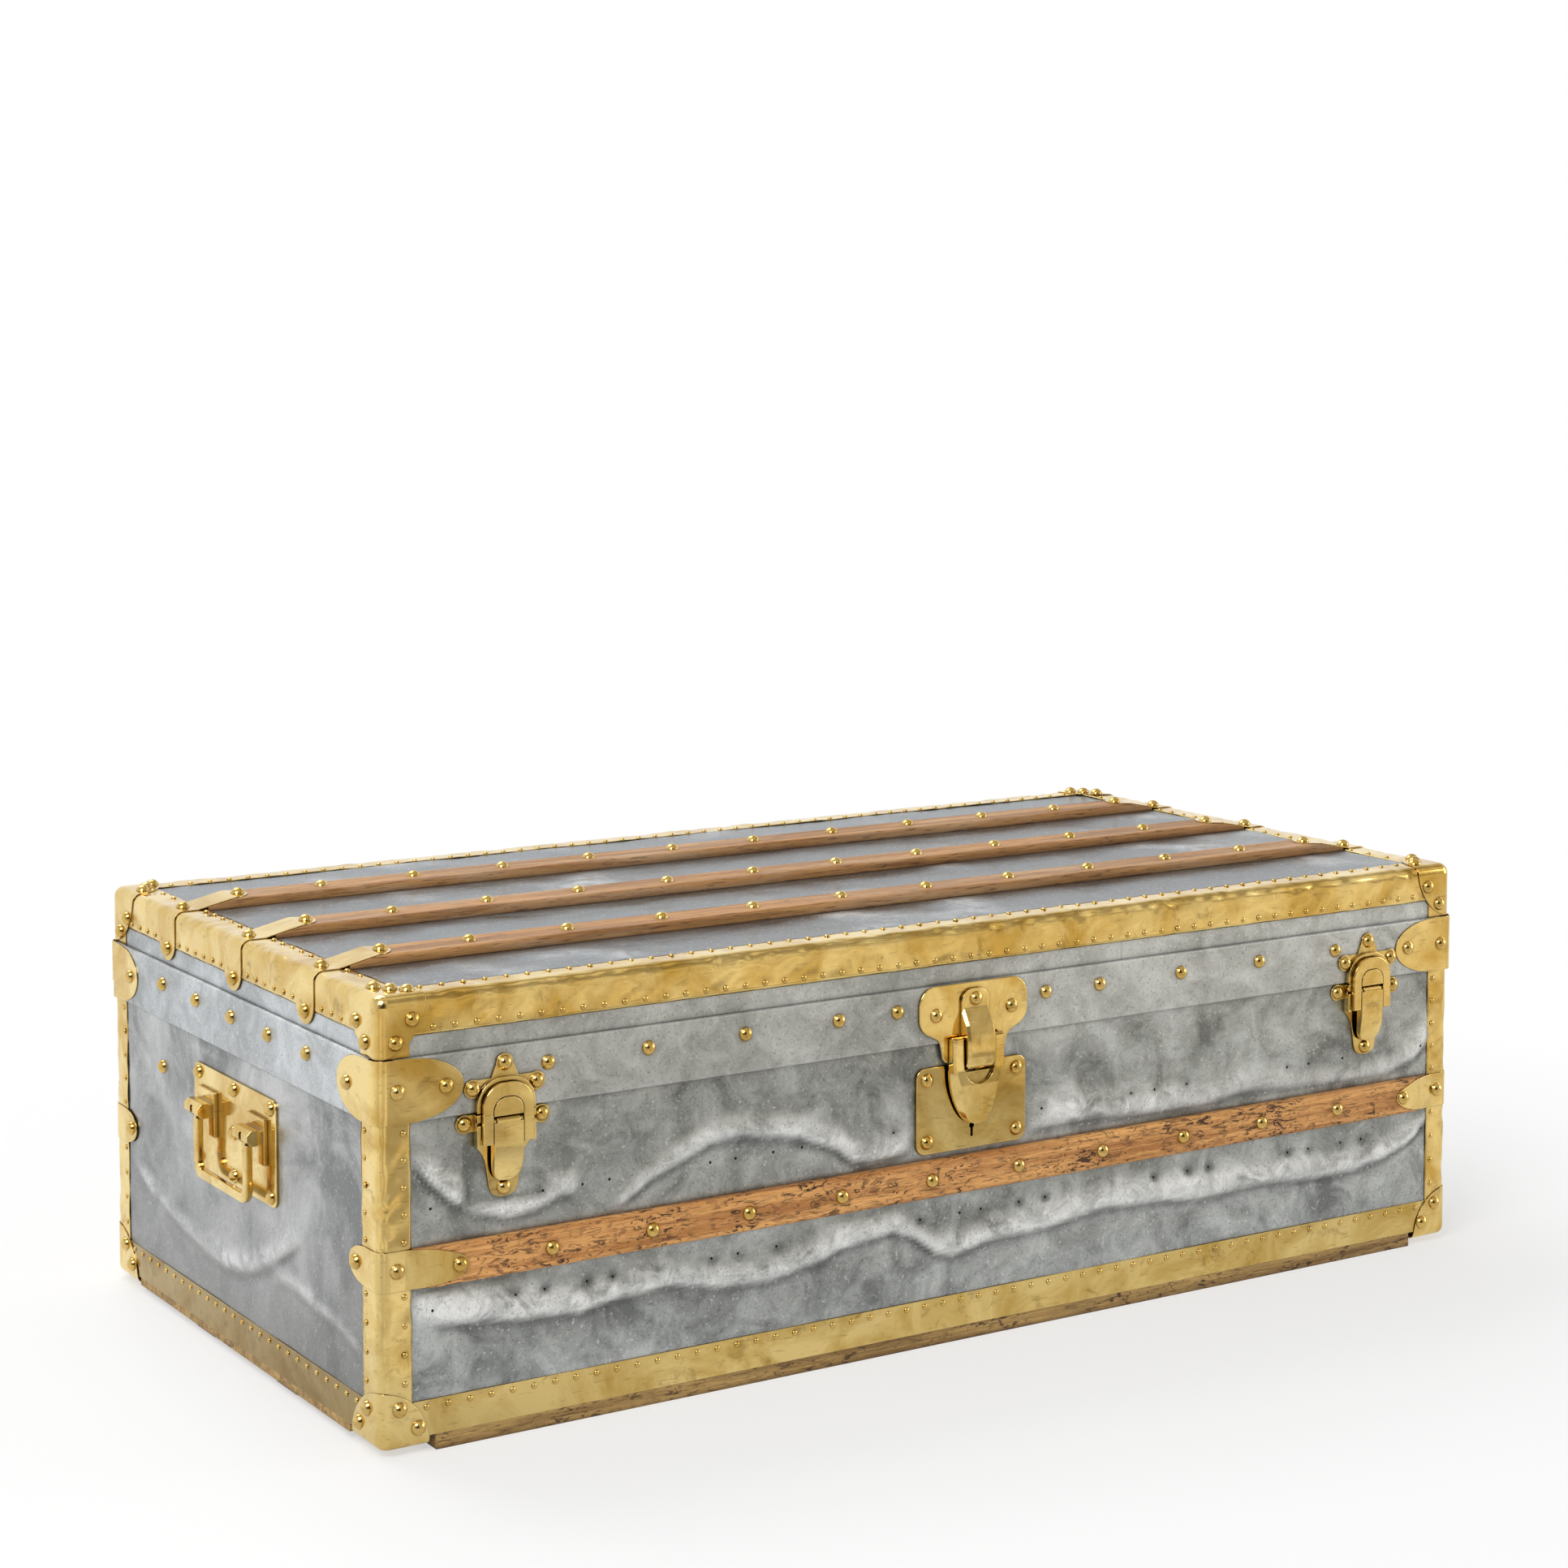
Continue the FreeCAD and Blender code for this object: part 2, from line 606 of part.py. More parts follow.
def slat_brackets():
    """Brass brackets that hold the slat ends and fold round the corners."""
    near = block(-FAR, -HALF_L + RAMP_START, -FAR, -HALF_D + SLAT_BRACKET_SIDE, SLAT_BOTTOM, SLAT_TOP)
    ring = box_skin(BRASS + BRACKET, SLAT_BOTTOM, SLAT_TOP).cut(box_skin(BRASS, SLAT_BOTTOM, SLAT_TOP))
    stations = [RAMP_START, RAMP_END, SLAT_BRACKET_REACH]
    under = [(-HALF_L + s, ramp_out(s, SLAT_THICK)) for s in stations]
    over = [(u, w + BRACKET) for u, w in reversed(under)]
    ramp = on_face(plan_bar(under + over, SLAT_BOTTOM, SLAT_TOP), "front")
    metal = joined([ring.common(near), ramp])
    bracket = corner_leaves(metal, SLAT_BRACKET_REACH, SLAT_BRACKET_SIDE, SLAT_BOTTOM, SLAT_TOP)
    save("slat_brackets", *four_corners(bracket))


def band_brackets():
    """Brass brackets over the band at the corners; at the back they stay clear of the chest."""
    ring = box_skin(BAND_PROUD + BRACKET, BAND_BOTTOM, BAND_TOP)
    ring = ring.cut(box_skin(BAND_PROUD, BAND_BOTTOM, BAND_TOP))
    corner = block(-FAR, -HALF_L + BAND_BRACKET_REACH, -FAR, -HALF_D + BAND_BRACKET_SIDE, 0, FAR)
    front = corner_leaves(ring.common(corner), BAND_BRACKET_REACH, BAND_BRACKET_SIDE, BAND_BOTTOM, BAND_TOP)
    chest_corner = block(-FAR, FAR, HALF_D - CORNER_RADIUS - RUNNING_GAP, FAR, 0, LID_BOTTOM)
    back = mirrored(front, "y").cut(chest_corner)
    save("band_brackets", *pair(front, "x"), *pair(back, "x"))


def slat_straps():
    """Brass straps over the ends of the top slats, folded down over the lid's ends."""
    half = STRAP_WIDTH / 2
    outer = box_skin(BRASS + BRACKET, SPLIT, TOP + BRASS + BRACKET, top_round=TOP_RADIUS + BRASS + BRACKET)
    inner = box_skin(BRASS, SPLIT, TOP + BRASS, top_round=TOP_RADIUS + BRASS)
    tip = TOP - STRAP_DROP
    fold = outer.cut(inner).common(block(-FAR, -HALF_L + RAMP_START, -half, half, tip, FAR))
    leaf = tongue(TOP + FAR, tip + STRAP_TIP, tip, 0, half, -FAR, FAR)
    leaf.rotate(V(0, 0, 0), V(0, 1, 0), -90)
    end = -HALF_L + STRAP_REACH
    stations = [RAMP_START, RAMP_END, STRAP_REACH]
    under = [(-HALF_L + s, ramp_out(s, TOP_SLAT_THICK)) for s in stations]
    over = [(u, w + BRACKET) for u, w in reversed(under)]
    ramp = on_face(plan_bar(under + over, -half, half), "top")
    rounded_end = tongue(-HALF_L, end - STRAP_TIP, end, 0, half, -FAR, FAR)
    strap = joined([fold.common(leaf), ramp.common(rounded_end)])
    straps = []
    for spot in (-TOP_SLAT_SPREAD, 0, TOP_SLAT_SPREAD):
        moved = strap.copy()
        moved.translate(V(0, spot, 0))
        straps += pair(moved, "x")
    save("slat_straps", *straps)


# Lock and hasp

def lock():
    """Lock plate, open-backed lock case in the front board, sliding bolt and flat spring."""
    half = LOCK_WIDTH / 2
    plate = rounded_corners(block(-half, half, LOCK_BOTTOM, LOCK_TOP, 0, LOCK_PLATE), LOCK_CORNER)
    plate = plate.makeFillet(PLATE_ROUND, edges_at(plate, LOCK_PLATE))
    notch_half = STAPLE_HALF_WIDTH + 2 * RUNNING_GAP
    notch_floor = BAND_BOTTOM - STAPLE_DROP - STAPLE_HEIGHT - 4 * RUNNING_GAP
    notch = block(-notch_half, notch_half, notch_floor, FAR, 0, LOCK_PLATE)
    save("lock_plate", on_face(plate.cut(notch), "front").cut(keyhole(0, LOCK_PLATE, 0)))
    case_x = CASE_WIDTH / 2 - BUTT_GAP
    case_z = CASE_HEIGHT / 2 - BUTT_GAP
    back = -SHEET - BOARD + BUTT_GAP
    case = block(-case_x, case_x, LOCK_MIDDLE - case_z, LOCK_MIDDLE + case_z, back, -SHEET)
    room_x = case_x - CASE_WALL
    room_z = case_z - CASE_WALL
    room_back = back
    room_front = -SHEET - CASE_WALL
    room = block(-room_x, room_x, LOCK_MIDDLE - room_z, LOCK_MIDDLE + room_z, room_back, room_front)
    guide_gap = BOLT_HEIGHT / 2 + SPLIT_GAP
    guides = [block(-room_x, room_x, low, low + CASE_WALL, room_back, room_front)
              for low in (LOCK_MIDDLE + guide_gap, LOCK_MIDDLE - guide_gap - CASE_WALL)]
    case = joined([case.cut(room)] + guides)
    save("lock_case", on_face(case, "front").cut(keyhole(room_front, 0, 0)))
    bolt_start = -room_x + SPLIT_GAP
    bolt = block(bolt_start, bolt_start + BOLT_LENGTH, LOCK_MIDDLE - BOLT_HEIGHT / 2,
                 LOCK_MIDDLE + BOLT_HEIGHT / 2, room_back + SPLIT_GAP, room_front - SPLIT_GAP)
    save("lock_bolt", on_face(bolt, "front"))
    spring_low = LOCK_MIDDLE + guide_gap + CASE_WALL
    spring = block(-room_x, room_x, spring_low, spring_low + SPRING_THICK, room_back, room_front)
    save("lock_spring", on_face(spring, "front"))


HASP_FACE = BAND_PROUD + HASP_PLATE
HASP_AXIS_LEVEL = BAND_BOTTOM + HASP_AXIS_RISE
HASP_LEG_INNER = BRIDGE_HALF_WIDTH + RUNNING_GAP
HASP_LEG_OUTER = HASP_LEG_INNER + HASP_LEG_WIDTH
HASP_BACK = HASP_FACE - RUNNING_GAP


def rounded_at(shape, radius, spots):
    """A plate with the standing edges at some spots (across, up) rounded, on both sides of the middle."""
    chosen = [e for e in shape.Edges if is_along(e, V(0, 0, 1))
              and any(abs(abs(e.CenterOfMass.x) - u) + abs(e.CenterOfMass.y - v) < 1e-6 for u, v in spots)]
    return shape.makeFillet(radius, chosen)


def hasp_plate():
    """Hasp plate on the band: two lobes that run in to a neck."""
    lobe_foot = BAND_TOP - HASP_LOBE_HEIGHT
    neck_foot = BAND_BOTTOM - HASP_NECK_DROP
    half = [(HASP_HALF_WIDTH, BAND_TOP), (HASP_HALF_WIDTH, lobe_foot + HASP_LOBE_SLOPE),
            (HASP_NECK_WIDE, lobe_foot - HASP_LOBE_SLOPE), (HASP_NECK_NARROW, neck_foot)]
    plate = slab(half + [(-u, v) for u, v in reversed(half)], BAND_PROUD, HASP_FACE)
    radii = (HASP_LOBE_ROUND, HASP_LOBE_FOOT_ROUND, HASP_NECK_FILLET, HASP_NECK_ROUND)
    for radius, spot in zip(radii, half):
        plate = rounded_at(plate, radius, [spot])
    return plate.makeFillet(PLATE_ROUND, edges_at(plate, HASP_FACE))


def hasp_fixed():
    """Hasp plate, the bridge bulging over its middle and the hasp's pin."""
    save("hasp_plate", on_face(hasp_plate(), "front"))
    top = BAND_BOTTOM + BRIDGE_RISE
    pad = HASP_FACE + BRIDGE_PAD
    rise = BRIDGE_BULGE - BRIDGE_PAD
    foot = BAND_BOTTOM - BRIDGE_DROP
    span = BRIDGE_RISE + BRIDGE_DROP
    ramp_top = foot + span * 0.762
    bulge = [(0.72, 0.56), (0.87, 0.45), (0.97, 0.35), (1.0, 0.25), (0.96, 0.13), (0.8, 0.045), (0.55, 0.0)]
    curve = [(pad + rise * w, foot + span * v) for w, v in bulge]
    bridge = curved_bar(curve, [(HASP_FACE, foot), (HASP_FACE, top), (pad, top), (pad, ramp_top)],
                        -BRIDGE_HALF_WIDTH, BRIDGE_HALF_WIDTH)
    sides = [e for e in bridge.Edges if abs(abs(e.CenterOfMass.x) - BRIDGE_HALF_WIDTH) < 1e-6
             and e.CenterOfMass.z > pad + 0.1 and e.CenterOfMass.y < ramp_top]
    bridge = bridge.makeChamfer(BRIDGE_BEVEL, sides)
    head = rounded_corners(block(-BRIDGE_HALF_WIDTH, BRIDGE_HALF_WIDTH, foot - FAR, top, 0, FAR),
                           BRIDGE_HALF_WIDTH * 0.8)
    bore = rod(-FAR, FAR, HASP_AXIS_LEVEL, HASP_AXIS_OUT, HASP_PIN_RADIUS + PIN_CLEARANCE)
    save("hasp_bridge", on_face(bridge.common(head).cut(bore), "front"))
    pin = rod(-HASP_LEG_OUTER, HASP_LEG_OUTER, HASP_AXIS_LEVEL, HASP_AXIS_OUT, HASP_PIN_RADIUS)
    save("hasp_pin", on_face(pin, "front"))


def hasp_lever():
    """The hasp: two legs round the bridge, a leaf that slopes to a round tip, a staple behind."""
    tip = BAND_BOTTOM - HASP_LENGTH
    front = HASP_BACK + HASP_THICK
    waist = BAND_BOTTOM - HASP_SLOT_DROP
    leaf_top = waist + HASP_PLATE
    run = waist - tip
    shares = [(1.0, 1.0), (0.975, 0.8), (0.9, 0.6), (0.77, 0.4), (0.58, 0.2), (0.34, 0.055), (0.0, 0.0)]
    crown = [(0.86, 1.0), (0.76, 0.8), (0.64, 0.6), (0.55, 0.4), (0.43, 0.2), (0.27, 0.06), (0.0, 0.015)]
    shoulder = HASP_BACK + HASP_SHOULDER
    rim = [(HASP_LEG_OUTER * u, tip + run * v) for u, v in shares]
    face = [(HASP_LEG_OUTER * u, tip + run * v) for u, v in crown]
    outlines = [shield_outline(leaf_top, rim, shoulder), shield_outline(leaf_top, face, front)]
    slope = Part.makeLoft(outlines, True, True)
    leaf = joined([shield(leaf_top, rim, HASP_BACK, shoulder), slope])
    moon_foot = BAND_BOTTOM - HASP_MOON_DROP
    facet = bar([(front, moon_foot), (FAR, moon_foot), (FAR, tip - FAR), (HASP_BACK + HASP_TIP_THICK, tip)],
                -FAR, FAR)
    shin_front = HASP_AXIS_OUT + HASP_BARREL
    shin_back = HASP_FACE + RUNNING_GAP
    shin = bar([(shin_back, HASP_AXIS_LEVEL), (shin_front, HASP_AXIS_LEVEL),
                (front, waist), (shin_back, waist)], HASP_LEG_INNER, HASP_LEG_OUTER)
    half_out = (front + shin_back) / 2
    fronts = [e for e in shin.Edges
              if e.CenterOfMass.z > half_out and e.Length > HASP_LEG_WIDTH + 1
              and e.CenterOfMass.x != (HASP_LEG_INNER + HASP_LEG_OUTER) / 2]
    shin = shin.makeFillet(HASP_LEG_ROUND, fronts)
    barrel = rod(HASP_LEG_INNER, HASP_LEG_OUTER, HASP_AXIS_LEVEL, HASP_AXIS_OUT, HASP_BARREL)
    gap = block(-HASP_LEG_INNER, HASP_LEG_INNER, waist, FAR, -FAR, FAR)
    moon_floor = front - HASP_THICK * 0.3
    moon = disc(0, moon_foot + HASP_LEG_INNER, HASP_LEG_INNER, moon_floor, FAR)
    bore = rod(-FAR, FAR, HASP_AXIS_LEVEL, HASP_AXIS_OUT, HASP_PIN_RADIUS + PIN_CLEARANCE)
    leaf = leaf.cut([gap, moon, facet])
    leg = joined([shin, barrel]).cut(bore)
    body = joined([leaf] + pair(leg, "x"))
    staple_top = BAND_BOTTOM - STAPLE_DROP
    staple = block(-STAPLE_HALF_WIDTH, STAPLE_HALF_WIDTH, staple_top - STAPLE_HEIGHT, staple_top,
                   RUNNING_GAP * 2, HASP_BACK + RUNNING_GAP)
    save("hasp_lever", on_face(joined([body, staple]), "front"))


# Side latches

LATCH_SPOT = HALF_L - LATCH_INSET
LATCH_AXIS_LEVEL = BAND_BOTTOM - LATCH_TOP_GAP - LATCH_BARREL
LATCH_AXIS_OUT = LATCH_PLATE + RUNNING_GAP + LATCH_BARREL
LATCH_FRONT = LATCH_AXIS_OUT + LATCH_BARREL
BAIL_INNER = LEVER_HALF_WIDTH + RUNNING_GAP
BAIL_OUTER = BAIL_INNER + BAIL_BAR
BAIL_BACK = LATCH_FRONT - BAIL_THICK
BAIL_PIVOT_LEVEL = BAND_BOTTOM - BAIL_DROP + BAIL_PIVOT_RISE
BAIL_PIVOT_OUT = BAIL_BACK + BAIL_THICK * 0.35
KEEPER_FACE = BAND_PROUD + LATCH_PLATE


def arch(half_width, foot, top, low, high):
    """An upright plate with a round head."""
    plate = block(-half_width, half_width, foot, top, low, high)
    upper = [e for e in plate.Edges if is_along(e, V(0, 0, 1)) and e.CenterOfMass.y > top - 1e-6]
    return plate.makeFillet(half_width * ARCH_ROUND, upper)


def latch_set(shape):
    """A latch piece, drawn about its own middle, at the left and at the right of the front."""
    placed = []
    for spot in (-LATCH_SPOT, LATCH_SPOT):
        moved = shape.copy()
        moved.translate(V(spot, 0, 0))
        placed.append(on_face(moved, "front"))
    return placed


def latch_base():
    """Base plate on the chest: ears, tapered tail, cheeks beside the bail, lugs for the lever's pin."""
    cheek_inner = BAIL_OUTER + RUNNING_GAP
    cheek_outer = cheek_inner + CHEEK_THICK
    top = BAND_BOTTOM - 2 * RUNNING_GAP
    shoulder = top - CHEEK_HEIGHT
    tail = BAND_BOTTOM - BASE_TAIL_DROP
    end = tail - BASE_TAIL_END
    run = shoulder - tail
    spare = cheek_outer - BASE_TAIL_HALF
    waist = [(1.0, 1.0), (0.62, 0.87), (0.37, 0.72), (0.21, 0.5), (0.1, 0.25), (0.0, 0.03)]
    side = [(BASE_TAIL_HALF + spare * u, tail + run * v) for u, v in waist]
    side += [(BASE_TAIL_HALF * 0.8, tail - BASE_TAIL_END * 0.55),
             (BASE_TAIL_HALF * 0.42, tail - BASE_TAIL_END * 0.9), (0, end)]
    ear_level = BAND_BOTTOM - BASE_EAR_DROP
    pieces = [shield(top, side, 0, LATCH_PLATE)]
    pieces += pair(disc(BASE_EAR_SPREAD, ear_level, EAR_RADIUS, 0, LATCH_PLATE), "x")
    pieces += pair(block(cheek_inner, BASE_EAR_SPREAD, ear_level - EAR_RADIUS * 0.9,
                         ear_level + EAR_RADIUS * 0.9, 0, LATCH_PLATE), "x")
    cheek = block(cheek_inner, cheek_outer, shoulder, top, 0, BAIL_BACK)
    lug_radius = LATCH_LUG
    lug_inner = LATCH_BARREL_HALF + SPLIT_GAP
    lug = rod(lug_inner, LEVER_HALF_WIDTH, LATCH_AXIS_LEVEL, LATCH_AXIS_OUT, lug_radius)
    web = block(lug_inner, LEVER_HALF_WIDTH, LATCH_AXIS_LEVEL - lug_radius * 0.9,
                LATCH_AXIS_LEVEL + lug_radius * 0.9, 0, LATCH_AXIS_OUT)
    pieces += pair(cheek, "x") + pair(lug, "x") + pair(web, "x")
    bore = rod(-FAR, FAR, LATCH_AXIS_LEVEL, LATCH_AXIS_OUT, LEVER_PIN_RADIUS + PIN_CLEARANCE)
    return joined(pieces).cut(bore)


def latch_keeper():
    """Keeper on the lid's band: three ears, a hood round the bail's arch, a boss inside it."""
    foot = BAND_BOTTOM + RUNNING_GAP
    hood_inner = BAIL_OUTER + RUNNING_GAP
    hood_outer = hood_inner + HOOD_WALL
    hood_top = BAND_BOTTOM + BAIL_RISE + RUNNING_GAP
    plate = arch(hood_outer, foot, hood_top + HOOD_WALL, BAND_PROUD, KEEPER_FACE)
    ear_level = BAND_BOTTOM + KEEPER_EAR_RISE
    top_level = BAND_BOTTOM + KEEPER_TOP_RISE
    ears = pair(disc(KEEPER_EAR_SPREAD, ear_level, EAR_RADIUS, BAND_PROUD, KEEPER_FACE), "x")
    ears += pair(block(EAR_RADIUS, KEEPER_EAR_SPREAD, ear_level - EAR_RADIUS * 0.9,
                       ear_level + EAR_RADIUS * 0.9, BAND_PROUD, KEEPER_FACE), "x")
    crown = disc(0, top_level, EAR_RADIUS, BAND_PROUD, KEEPER_FACE)
    neck = slab([(-EAR_RADIUS * 1.9, hood_top - HOOD_WALL), (-EAR_RADIUS, top_level), (EAR_RADIUS, top_level),
                 (EAR_RADIUS * 1.9, hood_top - HOOD_WALL)], BAND_PROUD, KEEPER_FACE)
    hood = arch(hood_outer, foot, hood_top + HOOD_WALL, BAND_PROUD, BAIL_BACK)
    hood = hood.cut(arch(hood_inner, foot - HOOD_WALL, hood_top, KEEPER_FACE, FAR))
    boss_half = BAIL_INNER - 2 * RUNNING_GAP
    boss_top = BAND_BOTTOM + BAIL_RISE - BAIL_HEAD - RUNNING_GAP
    boss_foot = BAND_BOTTOM - RUNNING_GAP
    boss = arch(boss_half, boss_foot, boss_top, BAND_PROUD, BAIL_BACK - RUNNING_GAP)
    return joined([plate, crown, neck, hood, boss] + ears)


def latch_lever():
    """Lever: a barrel on the pin, a flat upper face, a lower end that bends back to the plate."""
    foot = BAND_BOTTOM - LATCH_TOP_GAP - LEVER_LENGTH
    knee = BAND_BOTTOM - BAIL_DROP
    back = LATCH_PLATE + RUNNING_GAP
    wide_top = LATCH_AXIS_LEVEL - LATCH_BARREL
    tail_back = back + RUNNING_GAP * 2
    tail_front = tail_back + 2.8
    run = knee - foot
    bend = LATCH_FRONT - tail_front
    curve = [(LATCH_FRONT, knee), (LATCH_FRONT - bend * 0.02, knee - run * 0.2),
             (LATCH_FRONT - bend * 0.14, knee - run * 0.42), (LATCH_FRONT - bend * 0.45, knee - run * 0.7),
             (LATCH_FRONT - bend * 0.8, knee - run * 0.91), (tail_front, foot)]
    rest = [(tail_back, foot), (tail_back + 2, knee - run / 2), (tail_back + 2, wide_top),
            (LATCH_AXIS_OUT, LATCH_AXIS_LEVEL), (LATCH_FRONT, LATCH_AXIS_LEVEL)]
    blade = curved_bar(curve, rest, -LEVER_HALF_WIDTH, LEVER_HALF_WIDTH)
    tip = [(1.0, 1.0), (0.99, 0.6), (0.95, 0.34), (0.82, 0.15), (0.5, 0.03), (0.0, 0.0)]
    outline = shield(LATCH_AXIS_LEVEL, [(LEVER_HALF_WIDTH * u, foot + run * v) for u, v in tip], 0, FAR)
    barrel = rod(-LATCH_BARREL_HALF, LATCH_BARREL_HALF, LATCH_AXIS_LEVEL, LATCH_AXIS_OUT, LATCH_BARREL)
    lug_room = rod(LATCH_BARREL_HALF, FAR, LATCH_AXIS_LEVEL, LATCH_AXIS_OUT, LATCH_LUG + SLOT_CLEARANCE)
    behind = block(LATCH_BARREL_HALF, FAR, wide_top, LATCH_AXIS_LEVEL, 0, LATCH_AXIS_OUT)
    blade = blade.common(outline).cut(pair(lug_room, "x") + pair(behind, "x"))
    body = joined([blade, barrel])
    pin_bore = rod(-FAR, FAR, LATCH_AXIS_LEVEL, LATCH_AXIS_OUT, LEVER_PIN_RADIUS + PIN_CLEARANCE)
    socket_depth = BAIL_PIN_LENGTH + RUNNING_GAP
    socket = rod(LEVER_HALF_WIDTH - socket_depth, FAR, BAIL_PIVOT_LEVEL, BAIL_PIVOT_OUT,
                 BAIL_PIN_RADIUS + PIN_CLEARANCE)
    return body.cut([pin_bore] + pair(socket, "x"))


def latch_bail():
    """Arched bail with a round-headed tongue in its window and two pivots that go into the lever."""
    foot = BAND_BOTTOM - BAIL_DROP
    top = BAND_BOTTOM + BAIL_RISE
    inner_top = top - BAIL_HEAD
    outer = arch(BAIL_OUTER, foot, top, BAIL_BACK, LATCH_FRONT)
    ring = outer.cut(arch(BAIL_INNER, foot - BAIL_BAR, inner_top, BAIL_BACK, LATCH_FRONT))
    ring = ring.makeFillet(BAIL_ROUND, edges_at(ring, LATCH_FRONT))
    sill = BAND_BOTTOM - LATCH_TOP_GAP + RUNNING_GAP
    web = arch(BAIL_INNER, sill, inner_top, BAIL_BACK, BAIL_BACK + BAIL_WEB)
    face = arch(BAIL_INNER - RUNNING_GAP, sill, inner_top - RUNNING_GAP, BAIL_BACK, LATCH_FRONT)
    pivot = rod(LEVER_HALF_WIDTH - BAIL_PIN_LENGTH, BAIL_INNER + BAIL_BAR / 2, BAIL_PIVOT_LEVEL,
                BAIL_PIVOT_OUT, BAIL_PIN_RADIUS)
    return joined([ring, web, face] + pair(pivot, "x"))


def latches():
    """Every piece of both side latches."""
    pin = rod(-LEVER_HALF_WIDTH, LEVER_HALF_WIDTH, LATCH_AXIS_LEVEL, LATCH_AXIS_OUT, LEVER_PIN_RADIUS)
    save("latch_pins", *latch_set(pin))
    save("latch_keepers", *latch_set(latch_keeper()))
    makers = {"latch_base": latch_base, "latch_lever": latch_lever, "latch_bail": latch_bail}
    for name, maker in makers.items():
        left, right = latch_set(maker())
        save("left_" + name, left)
        save("right_" + name, right)


# End handles

SADDLE_TOP = HANDLE_TOP - SADDLE_TOP_INSET
SADDLE_FACE = HANDLE_PLATE + SADDLE_THICK
BARREL_LEVEL = SADDLE_TOP - BARREL_BELOW_TOP
BARREL_OUT = SADDLE_FACE + BARREL_RADIUS


def handle_saddle():
    """A saddle: a foot on the plate and a slotted barrel that holds one end of the drop handle."""
    half = SADDLE_WIDTH / 2
    foot = block(-half, half, SADDLE_TOP - SADDLE_HEIGHT, SADDLE_TOP, HANDLE_PLATE, SADDLE_FACE)
    turns = [math.pi * (i + 0.5) / 4 for i in range(8)]
    facets = [(BARREL_OUT + BARREL_RADIUS * math.cos(t), BARREL_LEVEL + BARREL_RADIUS * math.sin(t))
              for t in turns]
    barrel = bar(facets, -BARREL_LENGTH / 2, BARREL_LENGTH / 2)
    arm = block(-BARREL_LENGTH / 2, BARREL_LENGTH / 2, BARREL_LEVEL - BARREL_RADIUS * 0.8,
                BARREL_LEVEL + BARREL_RADIUS * 0.8, HANDLE_PLATE, BARREL_OUT)
    slot_half = HANDLE_TONGUE / 2 + SLOT_CLEARANCE
    reach = HANDLE_BAR_THICK / 2 + SLOT_CLEARANCE
    slot = block(-slot_half, slot_half, -FAR, BARREL_LEVEL + reach, BARREL_OUT - reach, FAR)
    bore_half = HANDLE_PIN_LENGTH / 2 + SLOT_CLEARANCE
    bore = rod(-bore_half, bore_half, BARREL_LEVEL, BARREL_OUT, HANDLE_PIN_RADIUS + PIN_CLEARANCE)
    return joined([foot, arm, barrel]).cut([slot, bore])


def handle_bail():
    """The drop handle: a rounded U whose ends thin to tongues with cross pins in the barrels."""
    low = BARREL_OUT - HANDLE_BAR_THICK / 2
    high = BARREL_OUT + HANDLE_BAR_THICK / 2
    bottom = BARREL_LEVEL - HANDLE_DROP_LENGTH
    shoulder = BARREL_LEVEL - BARREL_RADIUS - 2 * RUNNING_GAP
    outer_half = SADDLE_SPREAD + HANDLE_BAR / 2
    inner_half = SADDLE_SPREAD - HANDLE_BAR / 2
    outer = block(-outer_half, outer_half, bottom, shoulder + HANDLE_BEND, low, high)
    outer = rounded_corners(outer, HANDLE_BEND)
    inner_bend = HANDLE_BEND * 0.5
    inner = rounded_corners(block(-inner_half, inner_half, bottom + HANDLE_BAR * 0.85,
                                  shoulder + 2 * HANDLE_BEND, low, high), inner_bend)
    loop = outer.cut(inner).common(block(-FAR, FAR, -FAR, shoulder, low, high))
    rims = [e for e in loop.Edges
            if abs(e.CenterOfMass.z - low) < 1e-6 or abs(e.CenterOfMass.z - high) < 1e-6]
    rims = [e for e in rims if abs(e.CenterOfMass.y - shoulder) > 1e-6]
    loop = loop.makeFillet(HANDLE_ROUND, rims)
    tongue_half = HANDLE_TONGUE / 2
    spot = SADDLE_SPREAD
    ends = [block(spot - tongue_half, spot + tongue_half, shoulder - 1, BARREL_LEVEL, low, high),
            rod(spot - tongue_half, spot + tongue_half, BARREL_LEVEL, BARREL_OUT, HANDLE_BAR_THICK / 2),
            rod(spot - HANDLE_PIN_LENGTH / 2, spot + HANDLE_PIN_LENGTH / 2, BARREL_LEVEL, BARREL_OUT,
                HANDLE_PIN_RADIUS)]
    return joined([loop] + [copy for end in ends for copy in pair(end, "x")])


def handles():
    """Plate, saddles and drop handle on both ends."""
    half = HANDLE_WIDTH / 2
    plate = rounded_corners(block(-half, half, HANDLE_BOTTOM, HANDLE_TOP, 0, HANDLE_PLATE), HANDLE_CORNER)
    plate = plate.makeFillet(PLATE_ROUND, edges_at(plate, HANDLE_PLATE))
    right_saddle = handle_saddle()
    right_saddle.translate(V(SADDLE_SPREAD, 0, 0))
    saddles = [on_face(saddle, "left") for saddle in pair(right_saddle, "x")]
    save("handle_plates", *pair(on_face(plate, "left"), "x"))
    save("handle_saddles", *[copy for saddle in saddles for copy in pair(saddle, "x")])
    bail = on_face(handle_bail(), "left")
    save("left_handle", bail)
    save("right_handle", mirrored(bail, "x"))


# Back hinges

